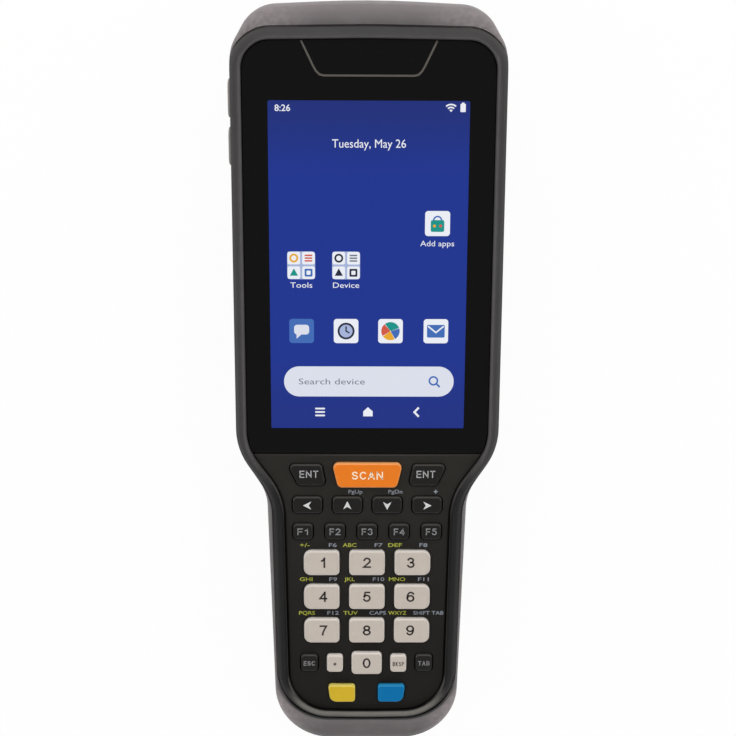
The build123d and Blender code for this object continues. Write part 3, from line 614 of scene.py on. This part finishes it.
def smooth_skin(node, material):
    """Welded copy of a node with smooth curves, crisp corners and level flats."""
    mesh = nodes[node].data.copy()
    shell = bmesh.new()
    shell.from_mesh(mesh)
    bmesh.ops.remove_doubles(shell, verts=shell.verts, dist=skin_weld * MM)
    shell.to_mesh(mesh)
    shell.free()
    mesh.shade_smooth()
    mesh.set_sharp_from_angle(angle=sharp_edge)
    mesh.materials.clear()
    mesh.materials.append(material)
    piece = plain_object(node + "_skin", mesh)
    levelled = piece.modifiers.new("level_flats", "WEIGHTED_NORMAL")
    levelled.keep_sharp = True
    levelled.weight = 80
    applied(piece)
    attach(piece, nodes[node]["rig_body"])
    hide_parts(node)
    return piece


# nodes whose own mesh is kept: boards, blocks, sheet metal and soft parts inside the case
kept_nodes = ("battery_contacts", "board_shields", "camera_module", "dock_contacts", "keypad_board",
              "main_board", "side_switches", "speaker", "display_panel", "inner_frame", "key_domes",
              "keypad_mat", "vibration_motor", "housing_seal")
for node, shape in sorted(nodes.items()):
    material = side_keys.get(node, finishes[slot_of[node]])
    if node in kept_nodes:
        for place in shape.material_slots:
            place.material = material
    elif node != "housing_screws":
        smooth_skin(node, material)


# ---- thin printed and lit shapes ----


def box_outline(x, y, width, height, radius=0.0, steps=5):
    """Corners of a rectangle, rounded to the given radius."""
    radius = min(radius, width / 2, height / 2)
    if radius <= 0:
        return [(x + sx * width / 2, y + sy * height / 2) for sx, sy in ((-1, -1), (1, -1), (1, 1), (-1, 1))]
    points = []
    for quarter, (sx, sy) in enumerate(((1, 1), (-1, 1), (-1, -1), (1, -1))):
        for step in range(steps + 1):
            turn = math.pi / 2 * (quarter + step / steps)
            points.append((x + sx * (width / 2 - radius) + radius * math.cos(turn),
                           y + sy * (height / 2 - radius) + radius * math.sin(turn)))
    return points


def oval_line(x, y, reach_x, reach_y, start, end, steps=14):
    """Points along an oval from one angle to another, in degrees."""
    turns = [math.radians(start + (end - start) * i / steps) for i in range(steps + 1)]
    return [(x + reach_x * math.cos(t), y + reach_y * math.sin(t)) for t in turns]


def disc_outline(x, y, radius):
    return oval_line(x, y, radius, radius, 0, 360, steps=28)[:-1]


def arc_outline(x, y, outer, inner, start, end):
    """Band between two radii, from one angle to another, in degrees."""
    away, back = (oval_line(x, y, radius, radius, start, end, steps=20) for radius in (outer, inner))
    return away + (back[::-1] if inner > 0 else [(x, y)])


def line_outline(points, width, longer=0.0):
    """Outline of a line of the given width with mitred corners, made longer at both ends."""
    places = [Vector(point) for point in points]
    places[0] += (places[0] - places[1]).normalized() * longer
    places[-1] += (places[-1] - places[-2]).normalized() * longer
    left, right = [], []
    for index, place in enumerate(places):
        before = (place - places[index - 1]).normalized() if index else None
        after = (places[index + 1] - place).normalized() if index < len(places) - 1 else None
        along = ((before or after) + (after or before)).normalized()
        across = Vector((-along.y, along.x))
        reach = width / 2 / max(0.4, across.dot(Vector((-(after or before).y, (after or before).x))))
        left.append(place + across * reach)
        right.append(place - across * reach)
    return [tuple(p) for p in right + left[::-1]]


def turned(points, degrees, x, y):
    """The points turned about the origin and then moved."""
    c, s = math.cos(math.radians(degrees)), math.sin(math.radians(degrees))
    return [(x + c * px - s * py, y + s * px + c * py) for px, py in points]


def letter_mesh(words, weight):
    """Mesh of a line of lettering as the built-in font gives it."""
    curve = bpy.data.curves.new("lettering", "FONT")
    curve.body = words
    curve.resolution_u = 3
    curve.offset = weight
    curve.extrude = 0.5
    holder = plain_object("lettering", curve)
    view = bpy.context.evaluated_depsgraph_get()
    mesh = bpy.data.meshes.new_from_object(holder.evaluated_get(view))
    bpy.data.objects.remove(holder)
    bpy.data.curves.remove(curve)
    return mesh


def ring(y, reach_x, reach_y):
    """A closed oval in the middle of a letter, as two strokes."""
    return [oval_line(0.5, y, reach_x, reach_y, start, start + 180) for start in (0, 180)]


# each letter: its width by its height, and the strokes along its middle lines in a unit box
six = [oval_line(0.55, 0.5, 0.55, 0.5, 42, 180) + [(0, 0.31)], *ring(0.31, 0.5, 0.31)]
drawn_letters = {
    "0": (0.66, ring(0.5, 0.5, 0.5)),
    "1": (0.42, [[(0.85, 0), (0.85, 1)], [(0.85, 0.95), (0.5, 0.79), (0.08, 0.7)]]),
    "2": (0.66, [oval_line(0.5, 0.71, 0.46, 0.29, 165, -35) + [(0, 0), (1, 0)]]),
    "3": (0.64, [oval_line(0.47, 0.755, 0.43, 0.245, 160, -88),
                 oval_line(0.48, 0.265, 0.5, 0.265, 88, -160)]),
    "4": (0.68, [[(0.74, 0), (0.74, 1)], [(0.72, 0.97), (0, 0.29), (1, 0.29)]]),
    "5": (0.66, [[(0.9, 1), (0.22, 1), (0.09, 0.5)], oval_line(0.48, 0.33, 0.5, 0.33, 145, -155)]),
    "6": (0.66, six),
    "7": (0.64, [[(0, 1), (1, 1), (0.66, 0.6), (0.44, 0.25), (0.38, 0)]]),
    "8": (0.66, ring(0.765, 0.42, 0.235) + ring(0.265, 0.5, 0.265)),
    "9": (0.66, [[(1 - x, 1 - y) for x, y in stroke] for stroke in six]),
    "A": (0.74, [[(0, 0), (0.48, 1)], [(1, 0), (0.52, 1)], [(0.17, 0.3), (0.83, 0.3)]]),
    "B": (0.66, [[(0.6, 1), (0, 1), (0, 0), (0.6, 0)], [(0, 0.53), (0.6, 0.53)],
                 oval_line(0.58, 0.765, 0.36, 0.235, 88, -88), oval_line(0.58, 0.265, 0.42, 0.265, 88, -88)]),
    "C": (0.72, [oval_line(0.54, 0.5, 0.54, 0.5, 42, 318)]),
    "E": (0.62, [[(1, 1), (0, 1), (0, 0), (1, 0)], [(0, 0.52), (0.9, 0.52)]]),
    "F": (0.6, [[(1, 1), (0, 1), (0, 0)], [(0, 0.5), (0.86, 0.5)]]),
    "K": (0.68, [[(0, 0), (0, 1)], [(0.94, 1), (0.04, 0.36)], [(0.34, 0.58), (1, 0)]]),
    "N": (0.7, [[(0, 0), (0, 1)], [(0.06, 0.92), (0.94, 0.08)], [(1, 0), (1, 1)]]),
    "P": (0.66, [[(0, 0), (0, 1)] + oval_line(0.56, 0.745, 0.44, 0.255, 90, -90) + [(0, 0.49)]]),
    "S": (0.66, [oval_line(0.5, 0.76, 0.45, 0.24, 22, 250) + oval_line(0.5, 0.255, 0.49, 0.255, 70, -158)]),
    "T": (0.66, [[(0, 1), (1, 1)], [(0.5, 0), (0.5, 0.95)]]),
}
letter_gap = 0.19             # between drawn letters, by their height


class Print:
    """Thin flat shapes that lie on one level and make one piece."""

    def __init__(self, name, level):
        self.name = name
        self.level = level
        self.mesh = bmesh.new()
        self.materials = []

    def number(self, material):
        if material not in self.materials:
            self.materials.append(material)
        return self.materials.index(material)

    def heights(self, layer):
        """Under side and upper side of a layer, in metres."""
        low = (self.level - ink_sink + layer * layer_step) * MM
        return low, low + ink_thickness * MM

    def shape(self, outline, material, layer=0):
        """Closed slab with the given outline."""
        under, over = ([self.mesh.verts.new((x * MM, y * MM, z)) for x, y in outline]
                       for z in self.heights(layer))
        count = len(outline)
        walls = [(under[i], under[(i + 1) % count], over[(i + 1) % count], over[i]) for i in range(count)]
        for corners in (list(reversed(under)), over, *walls):
            self.mesh.faces.new(corners).material_index = self.number(material)

    def words(self, words, x, y, cap_height, material, width, layer=0, weight=0.0):
        """Line of lettering in the built-in font, centred on a point and fitted to a height and a width."""
        mesh = letter_mesh(words, weight)
        xs = [vertex.co.x for vertex in mesh.vertices]
        size = cap_height / font_cap_height
        wide = width / (max(xs) - min(xs))
        low, high = self.heights(layer)
        centre = Vector(((max(xs) + min(xs)) / 2, font_cap_height / 2, 0))
        scale = Matrix.Diagonal((wide * MM, size * MM, high - low, 1))
        place = Matrix.Translation((x * MM, y * MM, (low + high) / 2))
        mesh.transform(place @ scale @ Matrix.Translation(-centre))
        count = len(self.mesh.faces)
        self.mesh.from_mesh(mesh)
        self.mesh.faces.ensure_lookup_table()
        for face in self.mesh.faces[count:]:
            face.material_index = self.number(material)
        bpy.data.meshes.remove(mesh)

    def drawn(self, words, x, y, height, width, line, material):
        """Lettering drawn with lines of one thickness, centred on a point."""
        letters = [drawn_letters[letter] for letter in words]
        stretch = width / (sum(wide for wide, strokes in letters) + letter_gap * (len(letters) - 1))
        left = x - width / 2
        for wide, strokes in letters:
            for stroke in strokes:
                points = [(left + line / 2 + across * (wide * stretch - line),
                           y + (up - 0.5) * (height - line)) for across, up in stroke]
                self.shape(line_outline(points, line, line / 2), material)
            left += (wide + letter_gap) * stretch

    def piece(self, body):
        """Finish the print as one piece that moves with a body."""
        mesh = bpy.data.meshes.new(self.name)
        self.mesh.to_mesh(mesh)
        self.mesh.free()
        for material in self.materials:
            mesh.materials.append(material)
        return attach(plain_object(self.name, mesh), body)


# ---- lettering on the keys ----

digit_height = 3.35
digit_line = 0.55
digit_shift = 0.5             # the digits of the outer columns stand nearer the middle


def key_print(key):
    return Print("legend_" + key[4:], extent(key)[1].z)


def key_words(key, words, height, width, line, material, shift=(0.0, 0.0)):
    """Words printed on the top of one key."""
    centre = middle(key)
    legend = key_print(key)
    legend.drawn(words, centre.x + shift[0], centre.y + shift[1], height, width, line, material)
    legend.piece(key)


for digit in range(10):
    label = str(digit)
    side = 0 if digit == 0 else (digit - 1) % 3 - 1
    key_words("key_" + label, label, digit_height, digit_height * drawn_letters[label][0] * 1.1, digit_line,
              digit_ink, (-side * digit_shift, 0.3))
for number in range(1, 6):
    key_words(f"key_f{number}", f"F{number}", 2.1, 3.3, 0.3, dim_ink, (0, 0.15))
key_words("key_scan", "SCAN", 2.45, 9.3, 0.37, label_ink, (0, 0.1))
key_words("key_enter_left", "ENT", 2.2, 5.6, 0.3, grey_ink, (0.45, 0.35))
key_words("key_enter_right", "ENT", 2.2, 5.6, 0.3, grey_ink, (-0.45, 0.35))
key_words("key_escape", "ESC", 1.5, 3.5, 0.24, dim_ink)
key_words("key_tab", "TAB", 1.5, 3.5, 0.24, dim_ink)
key_words("key_backspace", "BKSP", 1.45, 3.5, 0.25, soft_ink)

point_print = key_print("key_point")
point_centre = middle("key_point")
point_print.shape(disc_outline(point_centre.x, point_centre.y, 0.48), soft_ink)
point_print.piece("key_point")

dart = [(1.35, 0.0), (-1.15, 1.25), (-0.4, 0.0), (-1.15, -1.25)]
for name, degrees in (("right", 0), ("up", 90), ("left", 180), ("down", 270)):
    arrow = key_print("key_arrow_" + name)
    centre = middle("key_arrow_" + name)
    arrow.shape(turned(dart, degrees, centre.x, centre.y), white_ink)
    arrow.piece("key_arrow_" + name)

# ---- lettering on the keypad plate ----

plate_cap = 1.15
row_gap = 5.45                # from the middle of a row of keys to the lettering above it
# second functions of a key: letters, how far left of the key they start, their width;
# function, how far right of the key it ends, its width
second_functions = {
    "key_1": ("+/-", 6.6, 3.0, "F6", 4.6, 2.4), "key_2": ("ABC", 7.4, 4.2, "F7", 4.7, 2.4),
    "key_3": ("DEF", 7.4, 4.2, "F8", 4.5, 2.4), "key_4": ("GHI", 6.7, 3.9, "F9", 4.7, 2.4),
    "key_5": ("JKL", 6.9, 3.2, "F10", 5.3, 3.5), "key_6": ("MNO", 7.1, 5.0, "F11", 5.1, 3.3),
    "key_7": ("PQRS", 7.0, 4.9, "F12", 5.2, 3.5), "key_8": ("TUV", 7.2, 4.4, "CAPS", 5.9, 5.1),
    "key_9": ("WXYZ", 7.2, 5.6, "SHIFT TAB", 9.8, 9.3),
}
plate_print = Print("keypad_lettering", plate_high.z)
for key, (letters, start, letters_width, function, end, function_width) in second_functions.items():
    centre = middle(key)
    row = centre.y + row_gap
    for words, x, width, material, weight in (
            (letters, centre.x - start + letters_width / 2, letters_width, shift_ink, 0.012),
            (function, centre.x + end - function_width / 2, function_width, function_ink, 0.008)):
        plate_print.words(words, x, row, plate_cap, material, width, weight=weight)
arrow_row = middle("key_arrow_up").y + 4.1
for key, words in (("key_arrow_up", "PgUp"), ("key_arrow_down", "PgDn")):
    plate_print.words(words, middle(key).x + 2.45, arrow_row, plate_cap, function_ink, 4.2, weight=0.008)
for degrees in (0, 90):
    bar = turned(box_outline(0, 0, 1.2, 0.35), degrees, middle("key_arrow_right").x + 2.6, arrow_row)
    plate_print.shape(bar, function_ink, degrees // 90)
plate_print.piece("terminal")

# ---- frame line printed at the head of the glass ----

line_width = 0.55
bracket = [(19.0, glass_high.y - 0.5), (15.7, glass_high.y - 7.3), (14.9, glass_high.y - 8.7),
           (13.9, glass_high.y - 9.7), (12.7, glass_high.y - 10.0)]
bracket += [(-x, y) for x, y in reversed(bracket)]
bracket_print = Print("glass_frame_line", glass_high.z)
bracket_print.shape(line_outline(bracket[::-1], line_width), frame_ink)
bracket_print.piece("terminal")

# ---- picture on the screen ----

screen_level = panel_top + screen_gap
background = Print("screen_picture", screen_level)
background.shape(box_outline(picture_x, picture_y, picture_width + 2 * picture_tuck,
                             picture_length + 2 * picture_tuck, 0.5), picture_blue)
background.piece("terminal")

symbols_level = screen_level + symbols_gap
# rows and columns of the symbols
status_y = picture_head - 1.82
date_y = picture_head - 11.82
bag_y = picture_head - 34.42
folder_y = picture_head - 46.62
dock_y = picture_head - 65.92
bar_y = picture_head - 81.07
navigation_y = picture_head - 90.37
columns = (-19.4, -6.4, 6.6, 19.9)

status = Print("screen_status", symbols_level)
status.words("8:26", -24.4, status_y - 0.15, 1.75, lit_white, 4.4, weight=0.01)
for reach, thickness in ((2.3, 0.42), (1.5, 0.42), (0.7, 0.7)):
    status.shape(arc_outline(23.2, status_y - 1.15, reach, reach - thickness, 48, 132), lit_white)
status.shape(box_outline(26.6, status_y, 1.5, 2.3, 0.2), lit_white)
status.shape(box_outline(26.6, status_y + 1.3, 0.7, 0.35), lit_white)
status.words("Tuesday, May 26", 0.1, date_y, 2.3, lit_white, 21.0)
status.piece("terminal")

tile_size = 7.2
tile_corner = 0.9
label_cap = 1.55
label_drop = 5.75             # from the middle of a tile to the words below it
round_turn = (0, 359.5)       # a whole ring, with a hair of space where its ends meet


def tile(page, x, y, material=lit_white, words="", width=0.0):
    """Rounded square with words below it."""
    page.shape(box_outline(x, y, tile_size, tile_size, tile_corner), material)
    if words:
        page.words(words, x, y - label_drop, label_cap, lit_white, width)


def folder_tile(page, x, y, colours, words, width):
    """Folder: four small white tiles with a small symbol on each, and its name below."""
    spacing = 2.12
    page.shape(box_outline(x, y, 8.1, 8.1, 1.0), lit_mist)
    for index, (dx, dy) in enumerate(((-1, 1), (1, 1), (-1, -1), (1, -1))):
        cx, cy = x + dx * spacing, y + dy * spacing
        page.shape(box_outline(cx, cy, 3.65, 3.65, 0.5), lit_white, 1)
        if index == 0:
            page.shape(arc_outline(cx, cy, 1.3, 0.75, *round_turn), colours[0], 2)
        elif index == 1:
            for row in (-0.8, 0.0, 0.8):
                page.shape(box_outline(cx, cy + row, 2.2, 0.45), colours[1], 2)
        elif index == 2:
            page.shape(turned([(1.3, 0), (-0.9, 1.2), (-0.9, -1.2)], 90, cx, cy), colours[2], 2)
        else:
            page.shape(box_outline(cx, cy, 2.3, 2.3, 0.3), colours[3], 2)
            page.shape(box_outline(cx, cy, 1.2, 1.2, 0.2), lit_white, 3)
    page.words(words, x, y - label_drop, label_cap, lit_white, width)


apps = Print("screen_apps", symbols_level)
folder_tile(apps, columns[0], folder_y, [lit_amber, lit_coral, lit_teal, lit_sky], "Tools", 6.4)
folder_tile(apps, columns[1], folder_y, [lit_shade, lit_grey, lit_shade, lit_shade], "Device", 7.6)
# shopping bag
bag_x = columns[3]
tile(apps, bag_x, bag_y, words="Add apps", width=9.8)
apps.shape(box_outline(bag_x, bag_y - 0.7, 3.9, 3.4, 0.5), lit_teal, 1)
apps.shape(arc_outline(bag_x, bag_y + 0.9, 1.35, 0.9, 0, 180), lit_sky, 1)
for side, material in ((-1, lit_amber), (1, lit_coral)):
    apps.shape(disc_outline(bag_x + side * 0.9, bag_y - 0.7, 0.42), material, 2)
apps.piece("terminal")

dock = Print("screen_dock", symbols_level)
for x in columns[1:]:
    tile(dock, x, dock_y)
# speech bubble
bubble_x = columns[0]
tile(dock, bubble_x, dock_y, lit_sky)
dock.shape(box_outline(bubble_x, dock_y + 0.4, 4.4, 2.9, 0.9), lit_paper, 1)
tail = [(bubble_x - 1.5, dock_y - 0.9), (bubble_x - 1.5, dock_y - 2.3), (bubble_x + 0.1, dock_y - 0.9)]
dock.shape(tail, lit_paper, 2)
# clock
clock_x = columns[1]
dock.shape(disc_outline(clock_x, dock_y, 2.5), lit_shade, 1)
dock.shape(disc_outline(clock_x, dock_y, 1.9), lit_mist, 2)
hands = [(clock_x, dock_y + 1.4), (clock_x, dock_y), (clock_x + 1.0, dock_y - 0.6)]
dock.shape(line_outline(hands, 0.42), lit_shade, 3)
# pie of four colours
for start, end, material in ((20, 127, lit_teal), (130, 212, lit_coral), (215, 297, lit_amber),
                             (300, 377, lit_sky)):
    dock.shape(arc_outline(columns[2], dock_y, 2.7, 0.15, start, end), material, 1)
# envelope
letter_x = columns[3]
dock.shape(box_outline(letter_x, dock_y, 5.2, 3.8, 0.4), lit_sky, 1)
flap = [(letter_x - 2.3, dock_y + 1.5), (letter_x, dock_y - 0.4), (letter_x + 2.3, dock_y + 1.5)]
dock.shape(line_outline(flap, 0.42), lit_white, 2)
dock.piece("terminal")

search = Print("screen_search_bar", symbols_level)
search.shape(box_outline(0.35, bar_y, 50.1, 9.1, 4.5, 10), lit_paper)
search.shape(arc_outline(19.4, bar_y + 0.25, 1.45, 0.95, *round_turn), lit_sky, 1)
search.shape(line_outline([(20.25, bar_y - 0.6), (21.3, bar_y - 1.65)], 0.55), lit_sky, 1)
search.words("Search device", -10.6, bar_y, 1.75, lit_grey, 19.5, layer=1)
search.piece("terminal")

navigation = Print("screen_navigation", symbols_level)
for row in (-1.05, 0.0, 1.05):
    navigation.shape(box_outline(-14.1, navigation_y + row, 2.9, 0.5, 0.2), lit_white)
house = [(-1.3, -1.3), (1.5, -1.3), (1.5, 0.2), (0.1, 1.5), (-1.3, 0.2)]
navigation.shape([(x, navigation_y + y) for x, y in house], lit_white)
chevron = [(15.2, navigation_y + 1.4), (13.9, navigation_y), (15.2, navigation_y - 1.4)]
navigation.shape(line_outline(chevron, 0.6), lit_white)
navigation.piece("terminal")

# ---- repeated small pieces, made by geometry nodes ----


class Recipe(Tree):
    """Geometry nodes with named sizes, worked out once on a mesh that carries the places."""

    def __init__(self, name, sizes):
        self.group = bpy.data.node_groups.new(name, "GeometryNodeTree")
        super().__init__(self.group)
        face = self.group.interface
        face.new_socket("Geometry", in_out="INPUT", socket_type="NodeSocketGeometry")
        face.new_socket("Geometry", in_out="OUTPUT", socket_type="NodeSocketGeometry")
        self.values = {}
        for label, value in sizes.items():
            kind = "NodeSocketInt" if isinstance(value, int) else "NodeSocketFloat"
            self.values[face.new_socket(label, in_out="INPUT", socket_type=kind).identifier] = value
        self.given = self.group.nodes.new("NodeGroupInput")

    def size(self, label):
        return Signal(self, self.find(self.given.outputs, label))

    def cylinder(self, sides, radius, depth):
        inputs = {"Vertices": sides, "Radius": radius, "Depth": depth}
        return self.node("GeometryNodeMeshCylinder", inputs=inputs, output="Mesh")

    def step(self, axis, distance):
        """A step along one axis."""
        return self.node("ShaderNodeCombineXYZ", inputs={axis: distance})

    def lifted(self, geometry, height):
        inputs = {"Geometry": geometry, "Translation": self.step("Z", height)}
        return self.node("GeometryNodeTransform", inputs=inputs)

    def joined(self, *parts):
        whole = self.node("GeometryNodeJoinGeometry")
        for part in parts:
            self.tree.links.new(part.socket, whole.socket.node.inputs[0])
        return whole

    def copies(self, shape, places=None):
        """A copy of the shape at each point, or at each place of the mesh that the recipe runs on."""
        points = places or self.size("Geometry")
        return self.node("GeometryNodeInstanceOnPoints", inputs={"Points": points, "Instance": shape})

    def end(self, geometry, material):
        """End in plain geometry with one material."""
        whole = self.node("GeometryNodeRealizeInstances", inputs={"Geometry": geometry})
        painted = self.node("GeometryNodeSetMaterial", inputs={"Geometry": whole, "Material": material})
        self.node("NodeGroupOutput", inputs={"Geometry": painted})

    def made(self, name, places):
        """Run on a mesh with one vertex at each place, in metres, and give a plain piece."""
        mesh = bpy.data.meshes.new(name)
        mesh.from_pydata(places, [], [])
        piece = plain_object(name, mesh)
        modifier = piece.modifiers.new(name, "NODES")
        modifier.node_group = self.group
        for identifier, value in self.values.items():
            modifier[identifier] = value
        return applied(piece)


def separate_solids(node):
    """Boxes of the separate solids of a node, in metres."""
    shell = bmesh.new()
    shell.from_mesh(nodes[node].data)
    bmesh.ops.remove_doubles(shell, verts=shell.verts, dist=skin_weld * MM)
    seen = set()
    boxes = []
    for first in shell.verts:
        if first in seen:
            continue
        seen.add(first)
        group = [first]
        for vertex in group:
            found = {edge.other_vert(vertex) for edge in vertex.link_edges} - seen
            seen |= found
            group.extend(found)
        corners = [[vertex.co[axis] for vertex in group] for axis in range(3)]
        boxes.append((Vector(map(min, corners)), Vector(map(max, corners))))
    shell.free()
    return boxes


def housing_screws():
    """Eight screws with a six-lobed drive, heads towards the back."""
    boxes = separate_solids("housing_screws")
    low, high = boxes[0]
    recipe = Recipe("screw_recipe", {
        "Head Radius": (high.x - low.x) / 2, "Head Height": 1.8 * MM, "Shaft Radius": 1.25 * MM,
        "Length": high.z - low.z, "Drive Radius": 1.25 * MM, "Drive Depth": 1.1 * MM})
    head_height = recipe.size("Head Height")
    head = recipe.lifted(recipe.cylinder(40, recipe.size("Head Radius"), head_height), head_height * 0.5)
    reach = recipe.size("Drive Radius")
    star = recipe.node("GeometryNodeCurveStar", output="Curve", inputs={
        "Points": 6, "Inner Radius": reach * 0.72, "Outer Radius": reach})
    face = recipe.node("GeometryNodeFillCurve", inputs={"Curve": star})
    depth = recipe.size("Drive Depth")
    cutter = recipe.node("GeometryNodeExtrudeMesh", inputs={
        "Mesh": face, "Offset": recipe.step("Z", depth * 2), "Individual": False})
    closed = recipe.joined(cutter, recipe.node("GeometryNodeFlipFaces", inputs={"Mesh": face}))
    cutter = recipe.node("GeometryNodeMergeByDistance", inputs={"Geometry": closed, "Distance": 1e-6})
    cutter = recipe.lifted(cutter, depth * -1)
    cut = recipe.node("GeometryNodeMeshBoolean", {"operation": "DIFFERENCE", "solver": "EXACT"},
                      {"Mesh 1": head, "Mesh 2": cutter})
    shaft_length = recipe.size("Length") - head_height * 0.5
    shaft = recipe.cylinder(24, recipe.size("Shaft Radius"), shaft_length)
    shaft = recipe.lifted(shaft, recipe.size("Length") - shaft_length * 0.5)
    recipe.end(recipe.copies(recipe.joined(cut, shaft)), finishes["steel"])
    places = [((a.x + b.x) / 2, (a.y + b.y) / 2, a.z) for a, b in boxes]
    piece = recipe.made("case_screws", places)
    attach(piece, "terminal")
    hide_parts("housing_screws")


def speaker_gauze():
    """Woven wire gauze behind the slots of the loudspeaker."""
    low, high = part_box("speaker")
    recipe = Recipe("gauze_recipe", {"Wire Radius": 0.12 * MM, "Pitch": 0.5 * MM,
                                     "Width": high.x - low.x - 3.0 * MM, "Height": high.y - low.y - 1.0 * MM})

    def wires(span, length, axis, turn):
        """Parallel wires of one length, side by side over a span along one axis."""
        wire = recipe.cylinder(6, recipe.size("Wire Radius"), length)
        wire = recipe.node("GeometryNodeTransform", inputs={"Geometry": wire, "Rotation": turn})
        share = span / recipe.size("Pitch")
        row = recipe.node("GeometryNodeMeshLine", inputs={
            "Count": share.math("FLOOR", share), "Start Location": recipe.step(axis, span * -0.5),
            "Offset": recipe.step(axis, recipe.size("Pitch"))})
        return recipe.copies(wire, row)

    weave = recipe.joined(wires(recipe.size("Height"), recipe.size("Width"), "Y", (0, math.pi / 2, 0)),
                          wires(recipe.size("Width"), recipe.size("Height"), "X", (math.pi / 2, 0, 0)))
    recipe.end(recipe.copies(weave), finishes["steel"])
    centre = (low + high) / 2
    piece = recipe.made("speaker_gauze", [(centre.x, centre.y, low.z - 0.5 * MM)])
    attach(piece, "terminal")


housing_screws()
speaker_gauze()

# ---- floor and backdrop ----

floor_drop = 0.0002           # keeps the floor clear of the back of the terminal
floor_radius = 2.2
wall_radius = 0.8             # radius of the sweep from the floor to the wall
wall_height = 1.4


def backdrop_material():
    """Pale paper that shows white, and still takes a faint shadow."""
    finish = Finish("backdrop_paper")
    path = finish.node("ShaderNodeLightPath", output="Is Camera Ray")
    seen = path.larger(path.other("Is Glossy Ray")).larger(path.other("Is Transmission Ray"))
    fibres = finish.noise(3, 4)
    paper_colour = finish.mixed(fibres, (0.84, 0.84, 0.84, 1), (0.88, 0.88, 0.88, 1))
    paper = finish.node("ShaderNodeBsdfPrincipled", inputs={"Base Color": paper_colour, "Roughness": 0.9,
                                                             "Specular IOR Level": 0.0})
    white = finish.node("ShaderNodeEmission", inputs={"Color": (1, 1, 1, 1), "Strength": 1.0})
    both = finish.node("ShaderNodeMixShader", inputs={0: seen * 0.95, 1: paper, 2: white})
    finish.node("ShaderNodeOutputMaterial", inputs={"Surface": both})
    return finish.material


def backdrop():
    """Round floor that sweeps up into a low wall on all sides."""
    profile = [(floor_radius, 0.0)]
    for step in range(1, 13):
        turn = math.pi / 2 * step / 12
        profile.append((floor_radius + wall_radius * math.sin(turn), wall_radius * (1 - math.cos(turn))))
    profile.append((floor_radius + wall_radius, wall_height))
    sheet = bmesh.new()
    around = 96
    rings = [[sheet.verts.new((r * math.cos(math.tau * i / around), r * math.sin(math.tau * i / around),
                               z - floor_drop)) for i in range(around)] for r, z in profile]
    sheet.faces.new(rings[0])
    for inner, outer in zip(rings, rings[1:]):
        for i in range(around):
            j = (i + 1) % around
            sheet.faces.new((inner[i], outer[i], outer[j], inner[j]))
    mesh = bpy.data.meshes.new("backdrop")
    sheet.to_mesh(mesh)
    sheet.free()
    mesh.shade_smooth()
    mesh.materials.append(backdrop_material())
    plain_object("backdrop", mesh)


backdrop()

# ---- lights ----


def softbox(name, place, size, power):
    """Square area lamp that faces the middle of the terminal."""
    lamp = bpy.data.lights.new(name, "AREA")
    lamp.shape = "RECTANGLE"
    lamp.size, lamp.size_y = size
    lamp.energy = power
    holder = plain_object(name, lamp)
    holder.location = place
    holder.rotation_euler = (-Vector(place)).to_track_quat("-Z", "Y").to_euler()


softbox("head_softbox", (0.0, 1.05, 0.75), (1.2, 0.7), 11.0)
softbox("left_softbox", (-1.1, 0.1, 0.8), (0.6, 1.1), 6.0)
softbox("right_softbox", (1.1, 0.1, 0.8), (0.6, 1.1), 6.0)
softbox("foot_softbox", (0.0, -1.2, 0.6), (1.2, 0.5), 4.5)

world = bpy.data.worlds.new("studio")
world.use_nodes = True
room = Tree(world.node_tree)
grey = room.node("ShaderNodeBackground", inputs={"Color": (1, 1, 1, 1), "Strength": 0.3})
room.node("ShaderNodeOutputWorld", inputs={"Surface": grey})
bpy.context.scene.world = world

# ---- camera ----

camera_place = Vector((-3.94, 87.38, 398.1)) * MM
camera_lens = 61.53
camera_pitch = 0.2146         # radians from straight down, towards the foot
camera_yaw = 0.0108
camera_roll = 0.0042

ahead = Vector((math.sin(camera_yaw), -math.sin(camera_pitch), -math.cos(camera_pitch))).normalized()
right = ahead.cross(Vector((0, 1, 0))).normalized()
up = right.cross(ahead)
right, up = (math.cos(camera_roll) * right + math.sin(camera_roll) * up,
             math.cos(camera_roll) * up - math.sin(camera_roll) * right)
camera_data = bpy.data.cameras.new("camera")
camera_data.lens = camera_lens
camera_data.sensor_width = 36.0
camera_data.clip_start = 0.01
camera_data.clip_end = 20.0
camera = plain_object("camera", camera_data)
camera.matrix_world = Matrix.Translation(camera_place) @ Matrix((right, up, -ahead)).transposed().to_4x4()
bpy.context.scene.camera = camera
bpy.context.scene.view_settings.view_transform = "Standard"
